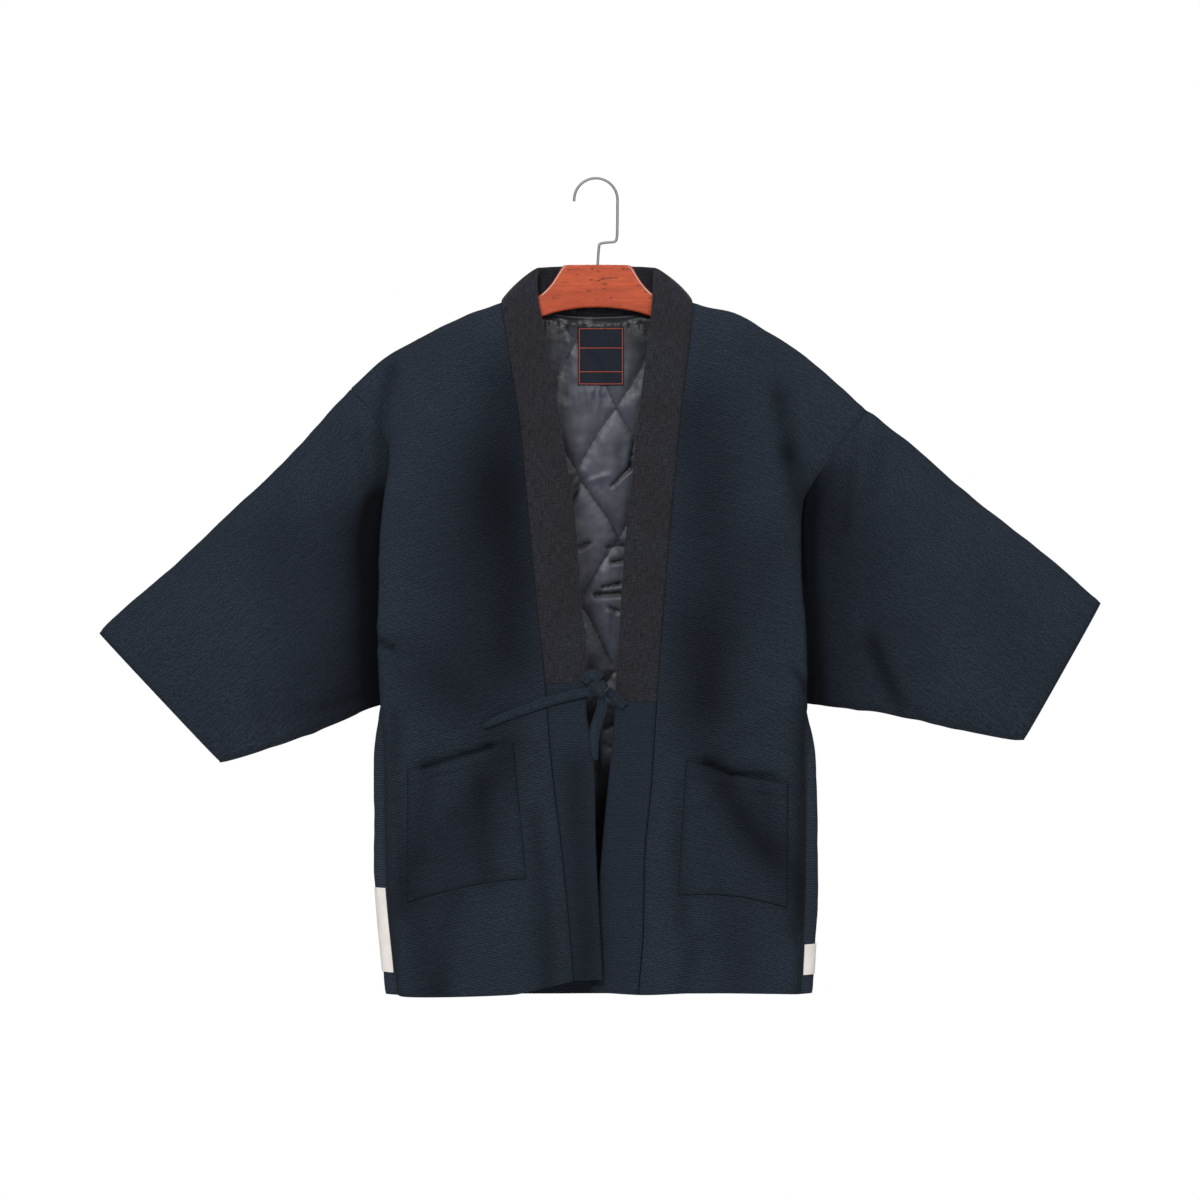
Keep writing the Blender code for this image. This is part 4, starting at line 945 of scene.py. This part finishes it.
# Painted shade on the lining: in its stitch lines and creases, beside the fronts' band edges, under the hanger, in
# the gap below the tie, along its border and under the shade strokes
lining_painted_shade = np.maximum(0.97 * bell(stitch_away, STITCH_WIDE), 0.95 * smooth(-folds / 2.2))
opening = {side: np.interp(down, table.rows[:, 2], table.rows[:, 1]) for side, table in BAND_EDGE.items()}
beside_edge = np.where(x < 0, opening["right"] + x, opening["left"] - x)
under_band = mix(0.7, 0.4, smooth((down - 330) / 120)) * bell(np.maximum(beside_edge, 0), 6)
under_wood = 0.85 * bell(np.maximum(down - 152, 0), 17)
below_tie = np.maximum(smooth((down - 590) / 22) * smooth((7 - x) / 6), smooth((down - 672) / 50))
drawn = np.clip(strokes(LINING_SHADES, points), 0, 0.9)
border = 1 - smooth((distance - 1) / 4)
lining_painted_shade = np.max([lining_painted_shade, drawn, under_band, under_wood, 0.97 * below_tie, border], axis=0)
lining_tree = BVHTree.FromPolygons((points - normals * lining_far[:, None]).tolist(), faces.tolist())
lining = shell("lining_cloth", points, normals, faces, grain, lining_near, lining_far, SATIN, lining_painted_shade)
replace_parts(lining, "lining_back")

# Collar band round the neck and down both fronts, and the bands below it
BAND_PROFILE = ((0.0, -0.9), (0.03, 0.3), (0.08, 1.1), (0.2, 1.5), (0.5, 1.6), (0.8, 1.5), (0.92, 1.0), (0.98, 0.0),
                (1.0, -1.6), (0.98, -3.4), (0.92, -4.4), (0.8, -4.9), (0.5, -5.2), (0.2, -4.8), (0.02, -4.7),
                (-0.014, -4.5), (-0.014, -4.2), (0.006, -4.05), (0.006, -3.8))


def refined(points, count):
    """Points along a smooth line through the given ones."""
    points = np.asarray(points, float)
    padded = np.concatenate([points[:1] * 2 - points[1:2], points, points[-1:] * 2 - points[-2:-1]])
    line = []
    for i in range(1, len(padded) - 2):
        before, here, after, beyond = padded[i - 1:i + 3]
        for s in np.arange(count) / count:
            line.append(0.5 * (2 * here + (after - before) * s + (2 * before - 5 * here + 4 * after - beyond) * s ** 2
                               + (3 * here - before - 3 * after + beyond) * s ** 3))
    return np.array(line + [padded[-2]])


normal_tree = point_tree(fabric.points)


def front_station(side, rows):
    """Seam and free edge of the band down a front."""
    seam = front_main(side, 0.0, rows)
    table = BAND_EDGE[side]
    down = -seam[..., 2]
    return seam, stack(SIDES[side] * table.at("out", down), -table.at("fwd", down), -table.at("down", down))


def neck_station(side, out):
    """Seam and free edge of the collar behind the neck."""
    seam = back_main(side, "neck", out, 0.0 * out)
    return seam, stack(SIDES[side] * NECK_EDGE.at("out", out), NECK_EDGE.at("back", out), -NECK_EDGE.at("down", out))


def tube(name, rings, grain, look, painted_shade=None):
    """Closed body through rings of points, each end closed by a fan of triangles to its middle."""
    count, around = rings.shape[:2]
    index = np.arange(count * around).reshape(count, around)
    wrapped = np.concatenate([index, index[:, :1]], axis=1)
    faces = corners(wrapped).reshape(-1, 4).tolist()
    uv = corners(np.concatenate([grain, grain[:, :1]], axis=1)).reshape(-1, 2).tolist()
    points = np.concatenate([rings.reshape(-1, 3), rings[:1].mean(axis=1), rings[-1:].mean(axis=1)])
    ends = ((index[0], count * around, grain[0], True), (index[-1], count * around + 1, grain[-1], False))
    for ring, middle, at, flip in ends:
        centre = at.mean(axis=0)
        for i in range(around):
            k = (i + 1) % around
            face, spots = [ring[i], ring[k], middle], [at[i], at[k], centre]
            if flip:
                face, spots = face[::-1], spots[::-1]
            faces.append([int(v) for v in face])
            uv += [list(spot) for spot in spots]
    # share of painted shade for the rings, and each end ring's mean for its middle point
    if painted_shade is not None:
        painted_shade = np.concatenate([painted_shade.reshape(-1), painted_shade[:1].mean(axis=1), painted_shade[-1:].mean(axis=1)])
    obj = mesh_object(name, points, faces, look, None, painted_shade)
    layer = obj.data.uv_layers.new(name="grain")
    layer.data.foreach_set("uv", np.array(uv, np.float32).reshape(-1))
    return obj


def band_cloth(name, stations, look, ease):
    """Folded band along its seam, with the free edge rounded."""
    seam = np.concatenate([seam for seam, _ in stations])
    edge = np.concatenate([edge for _, edge in stations])
    normal = np.array([fabric.normals[normal_tree.find(point)[1]] for point in seam])
    along = np.gradient(edge, axis=0)
    across = edge - seam
    out = unit(np.cross(across, along))
    out[(out * normal).sum(axis=1) < 0] *= -1
    profile = refined(BAND_PROFILE, 3)
    rings, painted_shade = [], []
    travel = travelled(edge)
    swell = 2.8 * bell(abs(seam[:, 0]) - 108, 16) * smooth((185 + seam[:, 2]) / 40)
    for share, rise in profile:
        turn = unit(mix(normal, out, smooth(share * 1.6)))
        middle = seam + across * (share if rise < -4.1 else max(share, 0.006))
        uneven = ease * soft_noise(middle, 46.0, 9) * smooth(share * 6) * smooth((1.1 - share) * 6)
        rings.append(middle + turn * (rise + uneven + swell * math.sin(math.pi * min(max(share, 0), 1)))[:, None])
        # painted shade: the fronts' shade strokes on the bands, and a darker line at the band's seam
        shade = strokes(FRONT_SHADES, middle) if name.startswith("band") else 0 * travel
        painted_shade.append(np.clip(shade, 0.8 * bell(share, 0.03), 1.0))
    rings, painted_shade = np.stack(rings, axis=1), np.stack(painted_shade, axis=1)
    for end, inner in ((0, 1), (-1, -2)):
        step = rings[inner] - rings[end]
        rings[end] += 0.15 * step / max(np.linalg.norm(step, axis=1).mean(), 1e-6)
    around = travelled(rings[len(rings) // 2])
    grain = np.stack(np.broadcast_arrays(around[None, :], travel[:, None]), axis=-1) * MM
    return tube(name, rings, grain, look, painted_shade)


up = dense(UP_ROWS, 7)
neck_x = dense(NECK_X[:-1], 5)
neck_x = np.concatenate([neck_x, dense([92.0, 111.0], 4)[1:-1]])
stations = [front_station("right", up[::-1]), neck_station("right", neck_x[::-1]),
            neck_station("left", neck_x[1:]), front_station("left", up)]
collar = band_cloth("collar_cloth", stations, BLACK, 0.7)
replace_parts(collar, "collar")
band_objects = {}
for side in SIDES:
    obj = band_cloth("band_" + side + "_cloth", [front_station(side, dense([1.0] + LOW_ROWS, 7))], NAVY_BAND, 0.8)
    band_objects[side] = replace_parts(obj, "band_" + side)


def tree_of(*objects):
    """Search tree over finished pieces, in millimetres."""
    points, faces = [], []
    for obj in objects:
        start = len(points)
        points += [vert.co / MM for vert in obj.data.vertices]
        faces += [[start + i for i in polygon.vertices] for polygon in obj.data.polygons]
    return BVHTree.FromPolygons(points, faces)


def front_of(tree, x, down):
    """How far forward a surface is, seen from the front."""
    hit = tree.ray_cast(Vector((x, -300, -down)), Vector((0, 1, 0)))[0]
    return 0.0 if hit is None else hit.y


def draped(tree, x, down):
    """How far forward a surface is under a grid of places."""
    return np.array([[front_of(tree, *spot) for spot in zip(*row)] for row in zip(x, down)])


def plate(name, inner, outer, look, painted_shade=None):
    """Closed body between two grids of points."""
    rows, columns = outer.shape[:2]
    size = rows * columns
    index = np.arange(size).reshape(rows, columns)
    faces = closed(corners(index).reshape(-1, 4), size)
    grain = np.stack([lengths(outer, 1), lengths(outer, 0)], axis=-1).reshape(-1, 2)
    # share of painted shade, the same on both sheets
    if painted_shade is not None:
        painted_shade = np.tile(painted_shade.reshape(-1), 2)
    return mesh_object(name, np.concatenate([outer.reshape(-1, 3), inner.reshape(-1, 3)]), faces, look,
                       grain[faces % size], painted_shade)


def joined(objects):
    """One mesh object from several."""
    with bpy.context.temp_override(active_object=objects[0], selected_editable_objects=objects):
        bpy.ops.object.join()
    return objects[0]


# Patch pockets, sewn down on three sides
POCKETS = {
    "right": {"mouth": ((96, 648), (217, 680)), "base": ((81, 804), (217, 832)), "dip": -3.0, "lift": 5.0},
    "left": {"mouth": ((102, 668), (219, 694)), "base": ((93, 823), (218, 838)), "dip": 3.0, "lift": 6.0},
}
POCKET_GRID = (92, 72)
POCKET_STITCH = 3.5      # from the pocket's edge to its stitch line
POCKET_HEM = 19.0        # from its mouth to the stitches of its hem
for side, spec in POCKETS.items():
    b, a = np.meshgrid(np.linspace(0, 1, POCKET_GRID[0]), np.linspace(0, 1, POCKET_GRID[1]), indexing="ij")
    arch = np.sin(math.pi * a)
    top, low = (mix(*np.array(spec[name], float), a[..., None]) for name in ("mouth", "base"))
    top[..., 1] += spec["dip"] * arch
    low[..., 1] -= spec["lift"] * arch
    flat = mix(top, low, b[..., None])
    x, down = SIDES[side] * flat[..., 0], flat[..., 1]
    rest = draped(outer_tree["body_" + side], x, down)
    gape = (POCKET_MOUTH - 1.5) * np.maximum(arch, 0) ** 0.8 * (1 - smooth(b * 1.1))
    width, height = np.ptp(flat[0, :, 0]), np.ptp(flat[:, 0, 1])
    edge = np.minimum(np.minimum(a, 1 - a) * width, (1 - b) * height)
    mouth = b * height
    sink = 1.6 * bell(edge, 1.6)
    stitch = 0.3 * bell(edge - POCKET_STITCH, 0.9)
    hem = 0.7 * (1 - smooth((mouth - POCKET_HEM + 2) / 3)) - 0.45 * bell(mouth - POCKET_HEM, 1.2)
    inner_y = rest - 0.35 - gape
    relief = 0.9 * np.array([[noise.noise(Vector((px, pd, 7)) / 26) for px, pd in zip(*row)] for row in zip(x, down)])
    outer_y = inner_y - np.maximum(POCKET_CLOTH - sink - stitch + hem + relief * smooth(edge / 8), 0.6)
    # Painted shade on the pocket: along its sewn edges and stitch line, inside its mouth, at its hem stitches and
    # under the fronts' shade strokes; its cloth is also the darker copy, painted shade
    seam_painted_shade = np.maximum(0.5 * bell(edge, 1.2), 0.16 * bell(edge - POCKET_STITCH, 0.9))
    lip_painted_shade = bell(mouth, 2.2) * np.maximum(arch, 0) ** 0.5
    hem_painted_shade = 0.2 * bell(mouth - POCKET_HEM, 1.2)
    pocket_painted_shade = np.max([seam_painted_shade, lip_painted_shade, shaded(stack(x, outer_y, -down)), hem_painted_shade], axis=0)
    obj = plate("pocket_" + side + "_cloth", stack(x, inner_y, -down), stack(x, outer_y, -down), NAVY_POCKET_SHADED, pocket_painted_shade)
    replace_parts(obj, "pocket_" + side)

# Blank labels on the gussets and in the neck
SIDE_LABELS = {"right": (816.0, 913.0), "left": (881.0, 916.0)}
for side, (top, low) in SIDE_LABELS.items():
    rows = np.linspace(1.4, 2.0, 61)
    heights = -gusset_point(side, 0.3 + 0 * rows, rows)[:, 2]
    chosen = np.interp(np.linspace(top, low, max(int((low - top) / 4), 6)), heights, rows)
    across = np.linspace(0.02, 0.65, 9)[None, :]
    grid = gusset_point(side, across + 0 * chosen[:, None], chosen[:, None] + 0 * across)
    inner, outer = np.zeros_like(grid), np.zeros_like(grid)
    for i, j in np.ndindex(grid.shape[:2]):
        at, normal, _, _ = outer_tree["gusset_" + side].find_nearest(Vector(grid[i, j]))
        turned = normal if normal.x * SIDES[side] > 0 else -normal
        start = Vector(grid[i, j])
        lift = max((at - start).dot(turned), 0.0)
        inner[i, j] = start + turned * (lift + 0.25)
        outer[i, j] = start + turned * (lift + 0.25 + LABEL_CLOTH)
    if side == "right":
        inner, outer = inner[:, ::-1], outer[:, ::-1]
    obj = plate("side_label_" + side + "_cloth", inner, outer, CREAM)
    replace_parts(obj, "side_label_" + side)

NECK_LABEL = {"x": (-22.0, 31.0), "down": (170.0, 237.0)}
LABEL_GRID = (34, 28)
x, down = np.meshgrid(np.linspace(*NECK_LABEL["x"], LABEL_GRID[1]), np.linspace(*NECK_LABEL["down"], LABEL_GRID[0]))
under = draped(lining_tree, x, down)
flat_y = under.copy()
for _ in range(24):
    padded_y = np.pad(flat_y, 1, mode="edge")
    flat_y = (padded_y[:-2, 1:-1] + padded_y[2:, 1:-1] + padded_y[1:-1, :-2] + padded_y[1:-1, 2:]) / 4
flat_y = np.minimum(flat_y, under) - 0.4
label = plate("neck_label_cloth", stack(x, flat_y, -down), stack(x, flat_y - LABEL_CLOTH, -down), LABEL)
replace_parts(label, "neck_label")
LABEL_LINES = {"inset": 1.6, "wide": 0.7, "dividers": (24.0, 51.4)}


def label_line(start, end):
    """Woven line on the neck label, from start to end in the label's own millimetres."""
    start, end = np.array(start, float), np.array(end, float)
    along = (end - start) / np.linalg.norm(end - start)
    side_step = np.array((-along[1], along[0])) * LABEL_LINES["wide"] / 2
    shares = np.linspace(0, 1, 20)
    left = start + (end - start) * shares[:, None] - side_step
    right = left + 2 * side_step
    grid = np.stack([left, right], axis=1)
    px, pd = NECK_LABEL["x"][0] + grid[..., 0], NECK_LABEL["down"][0] + grid[..., 1]
    columns = (px - x[0, 0]) / (x[0, 1] - x[0, 0])
    lines = (pd - down[0, 0]) / (down[1, 0] - down[0, 0])
    i, j = (np.clip(at.astype(int), 0, count - 2) for at, count in zip((lines, columns), LABEL_GRID))
    s, t = lines - i, columns - j
    y = mix(mix(flat_y[i, j], flat_y[i, j + 1], t), mix(flat_y[i + 1, j], flat_y[i + 1, j + 1], t), s) - LABEL_CLOTH
    return stack(px, y, -pd)


label_wide = NECK_LABEL["x"][1] - NECK_LABEL["x"][0]
label_tall = NECK_LABEL["down"][1] - NECK_LABEL["down"][0]
m = LABEL_LINES["inset"]
frame_corners = [(m, m), (label_wide - m, m), (label_wide - m, label_tall - m), (m, label_tall - m)]
lines = [label_line(a, b) for a, b in zip(frame_corners, frame_corners[1:] + frame_corners[:1])]
lines += [label_line((m, d), (label_wide - m, d)) for d in LABEL_LINES["dividers"]]
strips = [plate("label_lines", line + (0, 0.05, 0), line - (0, 0.15, 0), BORDER) for line in lines]
joined(strips)

# Tie: middle line of each stretch, x and down, with its width and how far it stands off the front
TIE_ROUTES = {
    "tie_tail_side": rows_of("""
        -7 590 9 5 | -20 592 11 3 | -36 596 11.5 1 | -52 600 11.5 0.3 | -66 605 11.5 0.3 | -80 610 11 0.3 |
        -95 615 10.5 0.3 | -110 621 10 0.8 | -122 626.5 8.5 1.6 | -130 630 4.5 2
"""),
    "tie_tail_down": rows_of("""
        5 598.3 11 5 | 6 605 12 3 | 4.5 613 13 1.5 | 1 623 13 0.8 | -2 633 13 0.6 | -3.5 645 12.5 0.6 |
        -3 656 10.5 0.6 | -1.2 668 6 0.6
"""),
    "tie_root_right": rows_of("""
        -14 580 14 0.2 | -9 573 14 2 | -2 571 13 3 | 5 575 12 3
"""),
    "tie_root_left": rows_of("""
        12 589 11 4 | 18 594 12 2 | 24 600 13 0.6 | 31 607 12 0.2
"""),
}
TIE_TWIST = {"tie_tail_side": 16.0, "tie_tail_down": -24.0, "tie_root_right": 30.0, "tie_root_left": -12.0}
AROUND = ((0, 0), (-5, 0), (5, 0), (0, -5), (0, 5))
KNOT_X, KNOT_DOWN = 3.0, 587.0
front_tree = tree_of(*(cloth_pieces["body_" + side] for side in SIDES), *band_objects.values(), collar)


def ribbon(name, path, widths, thickness, facing, look, twist=0.0):
    """Folded flat strap along a path; facing is the way its broad side looks."""
    path, widths = np.asarray(path, float), np.asarray(widths, float)
    around = np.linspace(0, math.tau, 20, endpoint=False)
    flat = np.sign(np.cos(around)) * abs(np.cos(around)) ** 0.55
    thick = np.sign(np.sin(around)) * abs(np.sin(around)) ** 0.8
    crease = 1 - 0.22 * bell(flat + 0.1, 0.22) * (thick > 0)
    along = unit(np.gradient(path, axis=0))
    side = unit(np.cross(along, np.broadcast_to(np.asarray(facing, float), path.shape)))
    up_way = np.cross(side, along)
    angle = np.radians(twist) * np.linspace(0, 1, len(path))[:, None]
    side, up_way = side * np.cos(angle) + up_way * np.sin(angle), up_way * np.cos(angle) - side * np.sin(angle)
    rings = (path[:, None] + side[:, None] * (flat[:, None] * widths[:, None, None] / 2)
             + up_way[:, None] * ((thick * crease)[:, None] * thickness / 2))
    travel = travelled(path)
    loop = np.cumsum(np.full(len(around), STRAP_WIDE * STRAP_ROUND / len(around)))
    grain = np.stack(np.broadcast_arrays(travel[:, None], loop[None, :]), axis=-1) * MM
    return tube(name, rings, grain, look)


ties, centrelines = {}, {}
for name, route in TIE_ROUTES.items():
    line = refined([(px, pd) for px, pd, _, _ in route], 6)
    shares = np.linspace(0, 1, len(line)), np.linspace(0, 1, len(route))
    widths, lifts = (np.interp(*shares, [row[column] for row in route]) for column in (2, 3))
    depth = np.array([min(front_of(front_tree, px + dx, pd + dz) for dx, dz in AROUND) for px, pd in line])
    if name != "tie_tail_side":   # these cross the gap between the fronts, level with the band they start on
        depth[:] = depth.min()
    for _ in range(6):
        depth[1:-1] = np.minimum((depth[:-2] + depth[1:-1] * 2 + depth[2:]) / 4, depth[1:-1])
    path = stack(line[:, 0], depth - lifts - 2.1, -line[:, 1])
    ties[name] = ribbon(name + "_cloth", path, widths, 3.2, (0, -1, 0), NAVY_TIE_LIT, TIE_TWIST[name])
    centrelines[name] = path * MM
    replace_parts(ties[name], name)

knot_y = min(front_of(front_tree, KNOT_X + dx, KNOT_DOWN + dz) for dx in (-22, 0, 24) for dz in (-8, 0, 8))
knot_at = np.array((KNOT_X, knot_y - 6.5, -KNOT_DOWN))
KNOT_TURNS = (   # tilt of each turn of the knot, its half width across and along, its strap's width and its shift
    (38.0, 9.0, 5.6, 10.5, -1.0),
    (-52.0, 10.2, 6.4, 9.5, 1.2),
    (80.0, 7.6, 6.0, 9.0, 2.2),
)
turns = []
for tilt, wide, deep, strap_wide, shift in KNOT_TURNS:
    a = np.linspace(0, math.tau, 40, endpoint=False)
    t = math.radians(tilt)
    flat = np.stack([np.cos(a) * wide * math.cos(t), -np.sin(a) * deep, np.cos(a) * wide * math.sin(t)], axis=1)
    flat = flat + knot_at + np.array((shift * math.sin(t), 0.0, -shift * math.cos(t)))
    outward_way = np.stack([np.cos(a) * math.cos(t), -np.sin(a), np.cos(a) * math.sin(t)], axis=1)
    path = np.concatenate([flat, flat[:2]])
    turns.append(ribbon("knot_turn", path, np.full(len(path), strap_wide), 2.8,
                        np.concatenate([outward_way, outward_way[:2]]), NAVY_TIE_LIT))
knot = joined(turns)
knot.name = "tie_knot_cloth"
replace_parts(knot, "tie_knot")

# Hanger: flat varnished board with a pale strip along its edge on each side of the hump, and a bent wire hook
HANGER_TOP = ((0, 98.5), (20, 98.6), (36, 99.0), (40.5, 101.5), (44, 107), (49, 115), (55, 123), (64, 132), (85, 143),
              (111, 151))
HANGER_LOW = ((0, 147.6), (20, 148.5), (42, 152), (61, 157.6), (111, 176))
HANGER_TIP = 215.0
HANGER_CLEAR = 5.2
ARM_STEPS = (150, 178, 200)
WOOD, WOOD_EDGE, WOOD_ARM = 10.0, 2.2, 27.0
WIRE = 3.0


def hanger_edge(side):
    """Outline of one half of the hanger, from the top middle round to the lower middle."""
    def top(out):
        return float(TOP[side].at("down", out)) + WALL
    arm = [(out, top(out) + HANGER_CLEAR) for out in ARM_STEPS]
    tip_down = top(HANGER_TIP) + HANGER_CLEAR
    tip = [(HANGER_TIP - 4, tip_down + 1), (HANGER_TIP, tip_down + 8), (HANGER_TIP - 2, tip_down + 20),
           (HANGER_TIP - 10, tip_down + 25)]
    low = [(out, top(out) + WOOD_ARM) for out in reversed(ARM_STEPS[:2])]
    upper = refined(list(HANGER_TOP) + arm + tip, 5)
    lower = refined(tip[-1:] + low + list(reversed(HANGER_LOW)), 5)
    return np.concatenate([upper, lower[1:]])


def curve_object(name, route, look, turned, cyclic, **settings):
    """Curve through points in millimetres, with the given settings."""
    curve = bpy.data.curves.new(name, "CURVE")
    for setting, value in settings.items():
        setattr(curve, setting, value)
    spline = curve.splines.new("POLY")
    spline.points.add(len(route) - 1)
    for point, (px, py, pz) in zip(spline.points, route):
        point.co = (px * MM, py * MM, pz * MM, 1)
    spline.use_cyclic_u = cyclic
    curve.materials.append(look)
    obj = add_object(name, curve)
    obj.rotation_euler = turned
    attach(obj, "root")
    return obj


left_half, right_half = hanger_edge("left"), hanger_edge("right")
outline = np.concatenate([left_half, right_half[1:-1][::-1] * (-1, 1)])
hanger = curve_object("hanger_board", [(px, -pd, 0) for px, pd in outline], WOOD_LOOK, (math.pi / 2, 0, 0), True,
                      dimensions="2D", fill_mode="BOTH", extrude=(WOOD / 2 - WOOD_EDGE) * MM,
                      bevel_depth=WOOD_EDGE * MM, bevel_resolution=4, offset=-WOOD_EDGE * MM)
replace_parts(hanger, "hanger_wood")


def wire(name, route, thickness, look):
    """Round rod through the given points, in millimetres."""
    return curve_object(name, route, look, (0, 0, 0), False, dimensions="3D", bevel_depth=thickness / 2 * MM,
                        bevel_resolution=6, use_fill_caps=True)


HOOK_CENTRE = (-1.3, -23.5)
HOOK_RADIUS = 25.0
HOOK_SHANK = ((0.8, -98.2), (1.6, -86.0), (2.2, -79.0), (3.0, -75.2), (5.6, -73.5), (12.0, -72.7), (19.0, -72.1),
              (21.8, -70.6), (23.0, -66.5), (23.4, -60.0), (23.7, -40.0))
arc = [(HOOK_CENTRE[0] + HOOK_RADIUS * math.cos(a), HOOK_CENTRE[1] + HOOK_RADIUS * math.sin(a))
       for a in np.linspace(0, math.radians(184), 40)]
shank = refined(HOOK_SHANK, 5)
hook = wire("hook_wire", [(px, 0.0, pz) for px, pz in np.concatenate([shank[:-1], arc])], WIRE, STEEL)
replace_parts(hook, "hanger_hook")
TRIM_ROUTE = ((36.5, 100.2), (40.0, 102.8), (43.3, 108.0), (48.3, 116.0), (54.4, 124.2), (63.5, 133.2))
for sign in (-1, 1):
    route = [(sign * (px - 0.5), -WOOD / 2 + 0.7, -pd - 0.5) for px, pd in refined(TRIM_ROUTE, 5)]
    wire("hump_trim", route, 1.5, TRIM)

camera = add_object("camera", bpy.data.cameras.new("camera"))
camera.location = CAMERA_AT
camera.rotation_euler = (math.pi / 2, 0, 0)
camera.data.sensor_width = 36.0
camera.data.lens = CAMERA_LENS
camera.data.clip_end = 60
SCENE.camera = camera

# Pale ground, white surroundings and soft lamps
GROUND_DOWN, GROUND_HALF = 1.6, 2.4
AMBIENT = 0.22           # what the surroundings light; the camera sees them white
corners_at = [(px * GROUND_HALF, py * GROUND_HALF, -GROUND_DOWN) for px, py in ((-1, -1), (1, -1), (1, 1), (-1, 1))]
ground = bpy.data.meshes.new("ground")
ground.from_pydata(corners_at, [], [(0, 1, 2, 3)])
ground.materials.append(plain_look("pale_ground", (0.9, 0.9, 0.91), 0.9))
ground = add_object("ground", ground)

world = bpy.data.worlds.new("studio")
world.use_nodes = True
backdrop = world.node_tree.nodes["Background"]
backdrop.inputs["Color"].default_value = (1.0, 1.0, 1.0, 1.0)
light_path = world.node_tree.nodes.new("ShaderNodeLightPath")
strength = world.node_tree.nodes.new("ShaderNodeMapRange")
strength.inputs["To Min"].default_value = AMBIENT
strength.inputs["To Max"].default_value = 1.0
world.node_tree.links.new(light_path.outputs["Is Camera Ray"], strength.inputs["Value"])
world.node_tree.links.new(strength.outputs["Result"], backdrop.inputs["Strength"])
SCENE.world = world

# Columns: name, place, height looked at, size, watts
LAMPS = (
    ("key_box", (-1.2, -4.0, 1.6), -0.5, (0.9, 0.9), 118),
    ("fill_box", (1.4, -4.0, 0.7), -0.5, (1.4, 1.4), 48),
    ("top_box", (0.2, -0.7, 1.9), -0.4, (1.8, 0.7), 24),
    ("rear_box", (0.6, 2.8, 0.9), -0.5, (1.6, 1.6), 60),
)
for name, place, height, size, power in LAMPS:
    light = bpy.data.lights.new(name, "AREA")
    light.shape = "RECTANGLE"
    light.size, light.size_y = size
    light.energy = power
    lamp = add_object(name, light)
    lamp.location = place
    lamp.rotation_euler = (Vector((0, 0, height)) - Vector(place)).to_track_quat("-Z", "Y").to_euler()

for name, lay in (("tie_tail_side", "loose"), ("tie_tail_down", "hanging")):
    path = centrelines[name]
    float(travelled(path)[-1])
    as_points(path)
